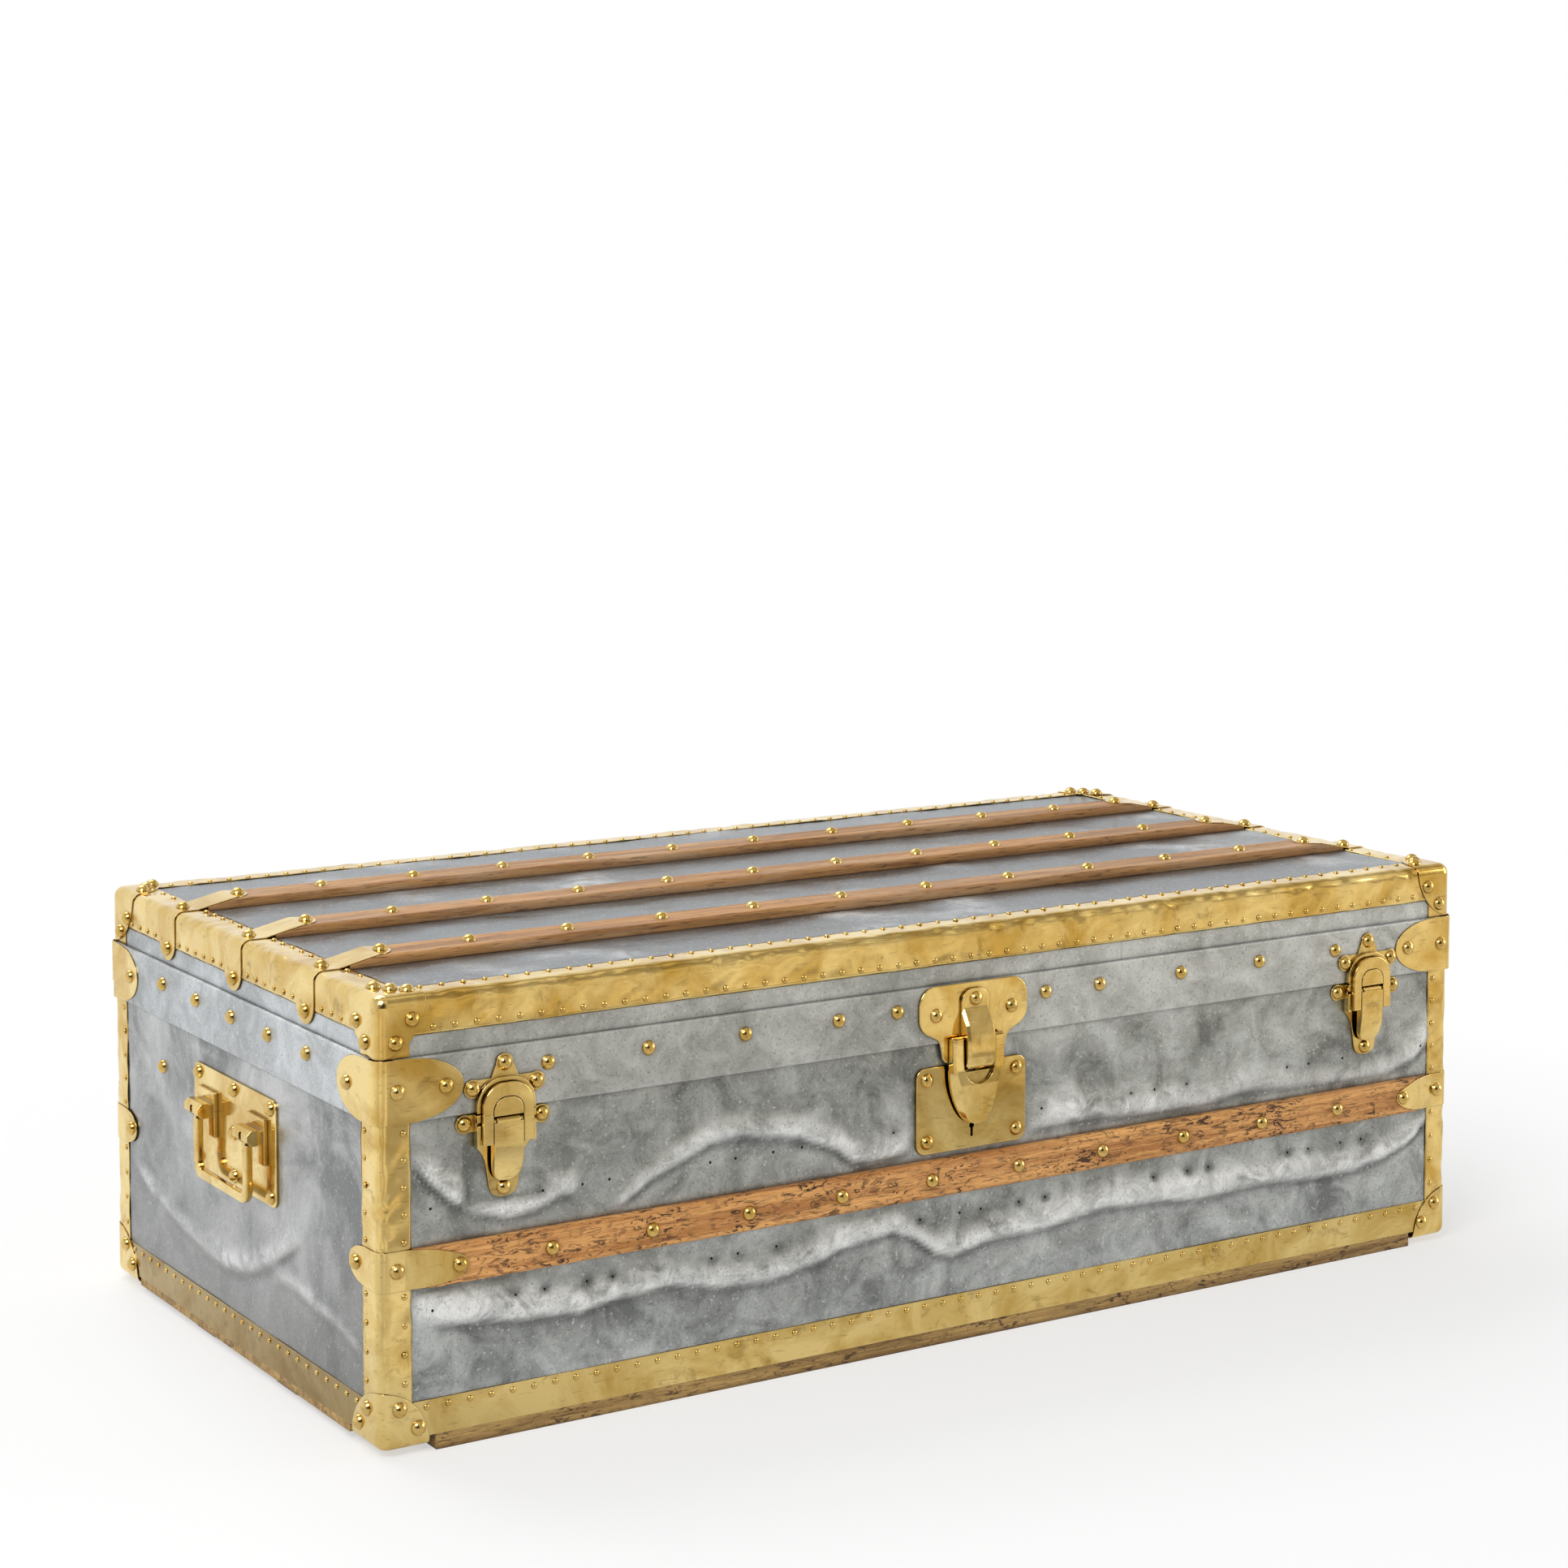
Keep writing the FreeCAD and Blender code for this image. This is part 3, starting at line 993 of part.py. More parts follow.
def hinge_leaf(up, spot):
    """One leaf of a hinge with its knuckles: up is 1 on the lid and -1 on the chest."""
    start = spot - HINGE_WIDTH / 2
    step = HINGE_WIDTH / KNUCKLES
    own = [i for i in range(KNUCKLES) if (i % 2 == 0) == (up < 0)]
    low, high = sorted((SPLIT + up * SPLIT_GAP, SPLIT + up * HINGE_LEAF))
    leaf = block(start, start + HINGE_WIDTH, low, high, 0, HINGE_THICK)
    clear = KNUCKLE_RADIUS + RUNNING_GAP
    others = [rod(start + step * i - KNUCKLE_GAP, start + step * (i + 1) + KNUCKLE_GAP,
                  SPLIT, HINGE_OUT, clear) for i in range(KNUCKLES) if i not in own]
    knuckles = [rod(start + step * i, start + step * (i + 1), SPLIT, HINGE_OUT, KNUCKLE_RADIUS) for i in own]
    low_web, high_web = sorted((SPLIT, SPLIT + up * KNUCKLE_RADIUS))
    webs = [block(start + step * i, start + step * (i + 1), low_web, high_web, HINGE_THICK / 2, HINGE_OUT)
            for i in own]
    inner_clear = block(-FAR, FAR, SPLIT - SPLIT_GAP, SPLIT + SPLIT_GAP, -FAR, HINGE_OUT - KNUCKLE_RADIUS)
    body = joined([leaf.cut(others)] + knuckles + webs).cut(inner_clear)
    bore = rod(-FAR, FAR, SPLIT, HINGE_OUT, HINGE_PIN_RADIUS + PIN_CLEARANCE)
    return on_face(body.cut(bore), "back")


HINGE_SPOTS = (-HINGE_SPREAD, 0, HINGE_SPREAD)


def hinges():
    """Three hinges along the back."""
    save("chest_hinge_leaves", *[hinge_leaf(-1, spot) for spot in HINGE_SPOTS])
    save("lid_hinge_leaves", *[hinge_leaf(1, spot) for spot in HINGE_SPOTS])
    pins = [rod(spot - HINGE_WIDTH / 2, spot + HINGE_WIDTH / 2, SPLIT, HINGE_OUT, HINGE_PIN_RADIUS)
            for spot in HINGE_SPOTS]
    save("hinge_pins", *[on_face(p, "back") for p in pins])


# Domed nails

def long_row():
    """Places of the nails along a slat or band, in pairs about the middle."""
    return [side * NAIL_PITCH * (i + 0.5) for i in range(NAIL_PAIRS) for side in (-1, 1)]


def corner_nails(spots, long_faces, short_faces):
    """Nails at given distances from the corners of the four walls: (near corner, level, out)."""
    made = []
    for faces, half, places in ((long_faces, HALF_L, spots[0]), (short_faces, HALF_D, spots[1])):
        for face in faces:
            for distance, level, out in places:
                made += [nail(face, side * (half - distance), level, out) for side in (-1, 1)]
    return made


LONG = ("front", "back")
SHORT = ("left", "right")


def chest_nails():
    """Domed nails of the chest: slats, brackets, caps, lock, latches, handles and hinges."""
    heads = [nail(face, u, SLAT_MIDDLE, SLAT_THICK) for face in LONG for u in long_row()]
    bracket_out = BRASS + BRACKET
    heads += corner_nails(
        ([(13.9, SLAT_MIDDLE, bracket_out), (RAMP_END + NAIL_RADIUS + 1, SLAT_MIDDLE, SLAT_THICK + BRACKET)],
         [(SLAT_BRACKET_SIDE - 12, SLAT_MIDDLE, bracket_out)]), LONG, SHORT)
    low = RUNNER_THICK - CAP
    heads += corner_nails(
        ([(15.0, low + 32, CAP_OUT), (30.5, low + 15.5, CAP_OUT)],
         [(22.0, low + 30, CAP_OUT), (37.0, low + 15, CAP_OUT)]), LONG, SHORT)
    lock_u = LOCK_WIDTH / 2 - LOCK_NAIL_INSET
    lock_v = LOCK_HEIGHT / 2 - LOCK_NAIL_INSET
    heads += [nail("front", a * lock_u, LOCK_MIDDLE + b * lock_v, LOCK_PLATE)
              for a in (-1, 1) for b in (-1, 1)]
    for spot in (-LATCH_SPOT, LATCH_SPOT):
        heads += [nail("front", spot + side * BASE_EAR_SPREAD, BAND_BOTTOM - BASE_EAR_DROP, LATCH_PLATE)
                  for side in (-1, 1)]
        heads.append(nail("front", spot, BAND_BOTTOM - BASE_TAIL_DROP, LATCH_PLATE))
    for end in SHORT:
        rows = (HANDLE_TOP - HANDLE_NAIL_INSET, HANDLE_BOTTOM + HANDLE_NAIL_INSET)
        heads += [nail(end, column * HANDLE_NAIL_SPREAD, row, HANDLE_PLATE)
                  for row in rows for column in (-1, 0, 1)]
        heads.append(nail(end, 0, (HANDLE_TOP + HANDLE_BOTTOM) / 2, HANDLE_PLATE))
    heads += [nail("back", spot + u, SPLIT - HINGE_LEAF * 0.7, HINGE_THICK)
              for spot in HINGE_SPOTS for u in (-HINGE_NAIL_SPREAD, 0, HINGE_NAIL_SPREAD)]
    heads.append(nail("left", -LONE_NAIL_SPOT, LONE_NAIL_LEVEL, 0))
    save("chest_nails", *heads)


def lid_nails():
    """Domed nails of the lid: band, brackets, caps, slats, straps, keepers, hasp and hinges."""
    band_level = BAND_BOTTOM + BAND_NAIL_LEVEL
    front_row = [u for u in long_row() if abs(u) > NAIL_PITCH] + [-HASP_NAIL_OFFSET, HASP_NAIL_OFFSET]
    heads = [nail("front", u, band_level, BAND_PROUD) for u in front_row]
    heads += [nail(end, i * END_NAIL_PITCH, band_level, BAND_PROUD) for end in SHORT for i in range(-2, 3)]
    band_middle = BAND_BOTTOM + BAND_HEIGHT / 2
    bracket_out = BAND_PROUD + BRACKET
    heads += corner_nails(
        ([(14.0, band_middle, bracket_out), (BAND_BRACKET_REACH - 15, band_middle, bracket_out)],
         [(BAND_BRACKET_SIDE - 18, band_middle, bracket_out)]), LONG, SHORT)
    heads += corner_nails(
        ([(28.0, TOP - 18, CAP_OUT), (14.0, TOP - 35, CAP_OUT)],
         [(36.0, TOP - 22, CAP_OUT), (20.0, TOP - 36, CAP_OUT)]), LONG, SHORT)
    for x, y in ((13.5, 36.0), (21.5, 23.5), (31.0, 13.5)):
        heads += [nail("top", a * (HALF_L - x), b * (HALF_D - y), CAP_OUT) for a in (-1, 1) for b in (-1, 1)]
    strap_out = BRASS + BRACKET
    for y in (-TOP_SLAT_SPREAD, 0, TOP_SLAT_SPREAD):
        heads += [nail("top", u, y, TOP_SLAT_THICK) for u in long_row()]
        for side in (-1, 1):
            strap_end = HALF_L - RAMP_END - NAIL_RADIUS - 2
            heads.append(nail("top", side * strap_end, y, TOP_SLAT_THICK + BRACKET))
            heads.append(nail("top", side * (HALF_L - TOP_RADIUS - NAIL_RADIUS), y, strap_out))
        heads += [nail(end, y, TOP - STRAP_DROP + NAIL_RADIUS + 4, strap_out) for end in SHORT]
    for spot in (-LATCH_SPOT, LATCH_SPOT):
        heads += [nail("front", spot + side * KEEPER_EAR_SPREAD, BAND_BOTTOM + KEEPER_EAR_RISE, KEEPER_FACE)
                  for side in (-1, 1)]
        heads.append(nail("front", spot, BAND_BOTTOM + KEEPER_TOP_RISE, KEEPER_FACE))
    heads += [nail("front", side * HASP_NAIL_SPREAD, BAND_BOTTOM + HASP_NAIL_RISE, HASP_FACE)
              for side in (-1, 1)]
    heads.append(nail("front", 0, BAND_BOTTOM + BRIDGE_RISE - 9.0, HASP_FACE + BRIDGE_PAD))
    heads += [nail("back", spot + u, SPLIT + HINGE_LEAF * 0.7, HINGE_THICK)
              for spot in HINGE_SPOTS for u in (-HINGE_NAIL_SPREAD, 0, HINGE_NAIL_SPREAD)]
    save("lid_nails", *heads)


os.makedirs("parts", exist_ok=True)
boards()
linings()
sheets()
bands()
posts()
edges()
caps()
slats()
base_wood()
slat_brackets()
band_brackets()
slat_straps()
lock()
hasp_fixed()
hasp_lever()
latches()
handles()
hinges()
chest_nails()
lid_nails()
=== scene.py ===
"""Looks for the metal-clad cabin trunk: dented zinc, brass binding, waxed slats, small nails and studio."""
import logging
import math
from dataclasses import dataclass
from enum import Enum

import bpy
import numpy as np
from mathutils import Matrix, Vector


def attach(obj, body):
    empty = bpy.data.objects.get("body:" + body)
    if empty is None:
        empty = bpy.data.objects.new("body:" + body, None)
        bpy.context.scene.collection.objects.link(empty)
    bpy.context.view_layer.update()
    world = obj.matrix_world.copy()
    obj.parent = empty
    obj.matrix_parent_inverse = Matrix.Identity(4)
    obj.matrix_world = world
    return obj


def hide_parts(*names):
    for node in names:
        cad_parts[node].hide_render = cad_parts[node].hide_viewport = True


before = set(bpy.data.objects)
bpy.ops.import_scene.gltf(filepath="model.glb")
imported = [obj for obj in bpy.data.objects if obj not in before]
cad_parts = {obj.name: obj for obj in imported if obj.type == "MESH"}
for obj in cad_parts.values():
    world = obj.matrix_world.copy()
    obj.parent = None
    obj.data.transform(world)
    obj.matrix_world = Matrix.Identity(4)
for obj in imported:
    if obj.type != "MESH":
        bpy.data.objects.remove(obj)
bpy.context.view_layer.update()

LOG = logging.getLogger("trunk")
MM = 0.001

Triple = tuple[float, float, float]
Colour = Triple
Point = tuple[float, float]
Area = tuple[float, float, float, float]
Socket = bpy.types.NodeSocket
Material = bpy.types.Material
Piece = bpy.types.Object

WAVES_EACH = 3

EVEN: Triple = (1.0, 1.0, 1.0)
WHITE: Colour = (1.0, 1.0, 1.0)


class Face(Enum):
    """The faces of the box: directions across, up and out."""

    FRONT = ((1, 0, 0), (0, 0, 1), (0, -1, 0))
    BACK = ((-1, 0, 0), (0, 0, 1), (0, 1, 0))
    LEFT = ((0, -1, 0), (0, 0, 1), (-1, 0, 0))
    RIGHT = ((0, 1, 0), (0, 0, 1), (1, 0, 0))
    TOP = ((1, 0, 0), (0, 1, 0), (0, 0, 1))

    @property
    def across(self) -> Vector:
        """Direction from left to right on the face."""
        return Vector(self.value[0])

    @property
    def up(self) -> Vector:
        """Direction up the face."""
        return Vector(self.value[1])

    @property
    def out(self) -> Vector:
        """Direction out of the face."""
        return Vector(self.value[2])


SIDES = (Face.FRONT, Face.BACK, Face.LEFT, Face.RIGHT)


@dataclass(frozen=True)
class Trunk:
    """Sizes of the trunk that the dressing follows, in millimetres."""

    half_length: float = 550.0
    half_depth: float = 278.0
    box_bottom: float = 12.5
    split: float = 273.0
    top: float = 356.2
    band_bottom: float = 259.0
    slat_bottom: float = 129.5
    slat_top: float = 160.5
    top_slats: tuple[float, ...] = (-146.0, 0.0, 146.0)
    post_front: float = 26.0
    post_side: float = 30.0
    bottom_edge: float = 28.0
    top_edge_drop: float = 31.0
    top_edge_front: float = 27.0
    top_edge_end: float = 29.5
    brass: float = 0.8
    corner_radius: float = 8.0
    top_radius: float = 7.0

    def on(self, face: Face, across: float, up: float, out: float = 0.0) -> Vector:
        """A point on a face of the box.

        Args:
            face: the face.
            across: place across the face, in millimetres from its middle.
            up: height, or place towards the back on the top, in millimetres.
            out: distance out of the zinc, in millimetres.

        Returns:
            The point in metres.
        """
        reach = {Face.FRONT: self.half_depth, Face.BACK: self.half_depth,
                 Face.LEFT: self.half_length, Face.RIGHT: self.half_length, Face.TOP: self.top}[face]
        return (face.across * across + face.up * up + face.out * (reach + out)) * MM

    def half_width(self, face: Face) -> float:
        """Half the width of a face."""
        return self.half_depth if face in (Face.LEFT, Face.RIGHT) else self.half_length


TRUNK = Trunk()


def placed(name: str, data: bpy.types.ID) -> Piece:
    """A new object in the scene.

    Args:
        name: its name.
        data: its mesh, lamp or camera.

    Returns:
        The object.
    """
    thing = bpy.data.objects.new(name, data)
    bpy.context.scene.collection.objects.link(thing)
    return thing


def grid_cells(rows: int, columns: int, base: int = 0) -> list[tuple[int, ...]]:
    """The faces of a grid of points.

    Args:
        rows: rows of points.
        columns: points in a row.
        base: number of the first point.

    Returns:
        The corners of each face, row by row.
    """
    corners = (base, base + 1, base + columns + 1, base + columns)
    return [tuple(corner + row * columns + column for corner in corners)
            for row in range(rows - 1) for column in range(columns - 1)]


def thin_wall(name: str, points: list[Vector], faces: list[tuple[int, ...]], finish: Material,
              thick: float) -> Piece:
    """A smooth sheet with a thickness behind its face.

    Args:
        name: name of the mesh and the object.
        points: its points in metres.
        faces: their numbers in each face.
        finish: its material.
        thick: thickness in millimetres.

    Returns:
        The sheet.
    """
    mesh = bpy.data.meshes.new(name)
    mesh.from_pydata(points, [], faces)
    mesh.materials.append(finish)
    for polygon in mesh.polygons:
        polygon.use_smooth = True
    piece = placed(name, mesh)
    wall = piece.modifiers.new("thickness", "SOLIDIFY")
    wall.thickness = thick * MM
    wall.offset = -1.0
    return piece


def dress(finish: Material, nodes: tuple[str, ...]) -> None:
    """Give CAD nodes one material.

    Args:
        finish: the material.
        nodes: the nodes' names.
    """
    for node in nodes:
        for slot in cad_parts[node].material_slots:
            slot.material = finish


class Tree:
    """A node tree of a material or the world, with short calls for its steps."""

    prefix: str = "ShaderNode"
    mixed_colours: tuple[int, int] = (6, 7)
    mixed_result: int = 2
    seam_samples: int = 5
    seam_span: Point = (0.3, 0.9)
    edge_samples: int = 4
    edge_span: Point = (0.8, 0.98)

    def __init__(self, owner: Material | bpy.types.World, coords: str) -> None:
        """Start an empty tree.

        Args:
            owner: the material or world.
            coords: which texture coordinates its patterns follow.
        """
        owner.use_nodes = True
        self.tree = owner.node_tree
        self.tree.nodes.clear()
        self.coords = self.node("TexCoord").outputs[coords]

    def node(self, kind: str, **inputs: object) -> bpy.types.Node:
        """A new node.

        Args:
            kind: what it does.
            inputs: values or sockets for its inputs, with the spaces in their names as underscores.

        Returns:
            The node.
        """
        node = self.tree.nodes.new(self.prefix + kind)
        for name, value in inputs.items():
            self.feed(node.inputs[name.replace("_", " ")], value)
        return node

    def feed(self, socket: Socket, value: object) -> None:
        """Link a socket or set a plain value.

        Args:
            socket: the input.
            value: another socket, a colour or a number.
        """
        if isinstance(value, bpy.types.NodeSocket):
            self.tree.links.new(value, socket)
        elif isinstance(value, tuple) and socket.type == "RGBA":
            socket.default_value = (*value, 1.0)
        else:
            socket.default_value = value

    def noise(self, scale: float, detail: float, roughness: float, stretch: Triple = EVEN,
              distortion: float = 0.0) -> Socket:
        """A noise pattern.

        Args:
            scale: features per metre, roughly.
            detail: octaves.
            roughness: strength of the finer octaves.
            stretch: scaling of the coordinates along each axis.
            distortion: how far the pattern is pulled about.

        Returns:
            The pattern, around a half.
        """
        place = self.coords if stretch == EVEN else self.stretched(stretch)
        node = self.node("TexNoise", Vector=place, Scale=scale, Detail=detail, Roughness=roughness,
                         Distortion=distortion)
        return node.outputs["Fac"]

    def stretched(self, stretch: Triple) -> Socket:
        """The coordinates scaled along each axis."""
        return self.node("Mapping", Vector=self.coords, Scale=stretch).outputs[0]

    def spread(self, value: Socket, low: float, high: float, least: float = 0.0, most: float = 1.0) -> Socket:
        """A value mapped from one range to another and held at the ends."""
        node = self.node("MapRange", Value=value, From_Min=low, From_Max=high, To_Min=least, To_Max=most)
        return node.outputs[0]

    def math(self, operation: str, first: object, second: object = None, kind: str = "Math") -> Socket:
        """One step of arithmetic.

        Args:
            operation: its name.
            first: a number or vector.
            second: another, where the operation takes two.
            kind: kind of node, for numbers or for vectors.

        Returns:
            The number that it gives.
        """
        node = self.node(kind)
        node.operation = operation
        self.feed(node.inputs[0], first)
        if second is not None:
            self.feed(node.inputs[1], second)
        return node.outputs["Value"]

    def both(self, first: Socket, second: Socket, share: float) -> Socket:
        """The sum of two patterns, of which the second has a share and the first the rest."""
        rest = self.math("MULTIPLY", first, 1.0 - share)
        return self.math("ADD", rest, self.math("MULTIPLY", second, share))

    def mix(self, share: object, first: object, second: object) -> Socket:
        """A colour between two.

        Args:
            share: how far it is the second colour.
            first: the first colour.
            second: the second colour.

        Returns:
            The colour.
        """
        node = self.node("Mix")
        node.data_type = "RGBA"
        self.feed(node.inputs["Factor"], share)
        for place, colour in zip(self.mixed_colours, (first, second)):
            self.feed(node.inputs[place], colour)
        return node.outputs[self.mixed_result]

    def attribute(self, name: str) -> Socket:
        """A number stored on the piece's own mesh.

        Args:
            name: the number's name.

        Returns:
            The number at each point.
        """
        node = self.node("Attribute")
        node.attribute_name = name
        return node.outputs["Fac"]

    def place(self, axis: str) -> Socket:
        """Place along one axis."""
        return self.node("SeparateXYZ", Vector=self.coords).outputs[axis]

    def seams(self, reach: float) -> Socket:
        """How far a point is shut in by surfaces near it, from ambient occlusion: the share where the
        finishes lay a dark tone as dirt and painted shade, in a seam or beside something that stands on it.

        Args:
            reach: how far from the seam it is felt, in metres.

        Returns:
            The share, from 0 to 1.
        """
        node = self.node("AmbientOcclusion", Distance=reach)
        node.samples = self.seam_samples
        return self.spread(node.outputs["AO"], *self.seam_span, 1.0, 0.0)

    def rounded_edges(self, radius: float) -> tuple[Socket, Socket]:
        """The rounded edges of a piece.

        Args:
            radius: radius of the edges, in metres.

        Returns:
            The normal with the edges rounded, and a share that is 1 on the edges.
        """
        bevel = self.node("Bevel", Radius=radius)
        bevel.samples = self.edge_samples
        rounded = bevel.outputs[0]
        same = self.math("DOT_PRODUCT", rounded, self.node("NewGeometry").outputs["Normal"], "VectorMath")
        return rounded, self.spread(same, *self.edge_span, 1.0, 0.0)

    def bump(self, height: Socket, strength: float, depth: float, under: Socket | None = None) -> Socket:
        """A normal pushed about by a height pattern.

        Args:
            height: the pattern.
            strength: share of the effect.
            depth: real depth in metres.
            under: a normal to start from.

        Returns:
            The new normal.
        """
        node = self.node("Bump", Strength=strength, Distance=depth, Height=height)
        if under is not None:
            self.feed(node.inputs["Normal"], under)
        return node.outputs[0]


class Nodes(Tree):
    """A material with one principled shader and a colour that is laid on in layers."""

    def __init__(self, name: str, colour: Colour) -> None:
        """Start the material.

        Args:
            name: its name.
            colour: its ground.
        """
        self.material = bpy.data.materials.new(name)
        super().__init__(self.material, "Object")
        self.shader = self.node("BsdfPrincipled")
        self.node("OutputMaterial", Surface=self.shader.outputs[0])
        self.colour: Colour | Socket = colour

    def set(self, **values: object) -> None:
        """Feed the principled shader's sockets, with spaces written as underscores."""
        for name, value in values.items():
            self.feed(self.shader.inputs[name.replace("_", " ")], value)

    def lay(self, tone: Colour, share: Socket, most: float = 1.0) -> None:
        """Lay a tone over the colour.

        Args:
            tone: the tone.
            share: how far it covers at each point.
            most: how far it covers where that is 1.
        """
        share = share if most == 1.0 else self.math("MULTIPLY", share, most)
        self.colour = self.mix(share, self.colour, tone)


class Steps(Tree):
    """A geometry node tree, with the kinds of its nodes written in full."""

    prefix = ""

    def __init__(self, name: str) -> None:
        """Start an empty tree."""
        self.tree = bpy.data.node_groups.new(name, "GeometryNodeTree")


@dataclass(frozen=True)
class Mottle:
    """A noise pattern that comes in between two of its levels, from the least to the most."""

    scale: float
    detail: float
    roughness: float
    low: float
    high: float
    most: float = 1.0
    least: float = 0.0
    stretch: Triple = EVEN
    distortion: float = 0.0

    def show(self, n: Tree) -> Socket:
        """The share of the pattern at each point."""
        pattern = n.noise(self.scale, self.detail, self.roughness, self.stretch, self.distortion)
        return n.spread(pattern, self.low, self.high, self.least, self.most)


@dataclass(frozen=True)
class Relief:
    """A noise pattern that pushes a surface in and out, to a depth in metres."""

    scale: float
    detail: float
    roughness: float
    depth: float

    def push(self, n: Tree, strength: float, under: Socket) -> Socket:
        """The normal that it makes of another, at a share of its strength."""
        return n.bump(n.noise(self.scale, self.detail, self.roughness), strength, self.depth, under)


@dataclass(frozen=True)
class ZincFinish:
    """Dull zinc sheet: cloudy, speckled, scuffed; pale on crests as rubbed metal and painted highlight, pale
    on raised parts as painted highlight, dark in hollows as painted shade, and dark in seams as dirt and
    painted shade.
    """

    name: str
    light: Colour = (0.57, 0.605, 0.625)
    dark: Colour = (0.2, 0.215, 0.22)
    crest: Colour = (0.95, 0.965, 0.97)
    hollow: Colour = (0.06, 0.062, 0.06)
    streaks: Triple = EVEN
    clouds: Point = (8.0, 30.0)
    blotch_share: float = 0.5
    shaped: bool = True
    contrast: float = 0.11
    foot: float = 0.0
    foot_span: Point = (0.03, 0.2)
    metal: float = 0.85
    pale_metal: float = 0.35
    rough_low: float = 0.3
    rough_high: float = 0.48
    wear_and_highlight: float = 0.0
    edge: float = 0.0012
    seam: float = 0.005
    seam_dirt_and_shade: float = 0.85
    hollow_shade: float = 0.74
    broken: Mottle = Mottle(85.0, 4.0, 0.65, 0.3, 0.62, 0.95, 0.25)
    patchy: Mottle = Mottle(38.0, 5.0, 0.68, 0.36, 0.6, 0.95, 0.05, distortion=1.0)
    specks: Mottle = Mottle(520.0, 3.0, 0.6, 0.56, 0.72, 0.5)
    flecks: Mottle = Mottle(330.0, 3.0, 0.6, 0.6, 0.74, 0.5)
    scuffs: Mottle = Mottle(60.0, 4.0, 0.6, 0.66, 0.74, 0.3, stretch=(1.0, 1.0, 0.12), distortion=0.4)
    rough_span: Point = (0.35, 0.65)
    dents: Relief = Relief(38.0, 3.0, 0.5, 0.001)
    dents_share: float = 0.35
    skin: Relief = Relief(520.0, 2.0, 0.5, 0.0002)
    skin_share: float = 0.2

    def make(self) -> Material:
        """Build the material.

        Returns:
            The material.
        """
        n = Nodes(self.name, self.dark)
        n.set(Metallic=self.metal)
        clouds = n.noise(self.clouds[0], detail=5.0, roughness=0.6, stretch=self.streaks, distortion=0.8)
        blotch = n.noise(self.clouds[1], detail=6.0, roughness=0.66, stretch=self.streaks, distortion=0.9)
        cloudy = n.both(clouds, blotch, self.blotch_share)
        n.lay(self.light, n.spread(cloudy, 0.5 - self.contrast, 0.5 + self.contrast))
        n.lay(self.dark, n.spread(n.place("Z"), *self.foot_span, self.foot, 0.0))
        # Painted light from the sheet's own dents: hollows take a dark tone as painted shade; crests and
        # raised parts take a pale, less metallic tone in broken patches as painted highlight, on the crests
        # also as rubbed metal.
        if self.shaped:
            n.lay(self.hollow, n.attribute("hollow"), self.hollow_shade)
            raised = n.math("MULTIPLY", n.attribute("raised"), self.patchy.show(n))
            ridge = n.math("MULTIPLY", n.attribute("crest"), self.broken.show(n))
            pale = n.math("MAXIMUM", raised, ridge)
            n.lay(self.crest, pale)
            n.set(Metallic=n.spread(pale, 0.0, 1.0, self.metal, self.metal * self.pale_metal))
        n.lay(self.hollow, self.specks.show(n))
        n.lay(self.crest, self.flecks.show(n))
        n.lay(self.hollow, self.scuffs.show(n))
        rounded, edge = n.rounded_edges(self.edge)
        # Where its share is set (the band), the rounded edges are painted pale: a painted highlight.
        n.lay(self.crest, edge, self.wear_and_highlight)
        # Seams found by ambient occlusion are painted dark: dirt and painted shade.
        n.lay(self.hollow, n.seams(self.seam), self.seam_dirt_and_shade)
        n.set(Base_Color=n.colour)
        n.set(Roughness=n.spread(cloudy, *self.rough_span, self.rough_low, self.rough_high))
        n.set(Normal=self.skin.push(n, self.skin_share, self.dents.push(n, self.dents_share, rounded)))
        return n.material


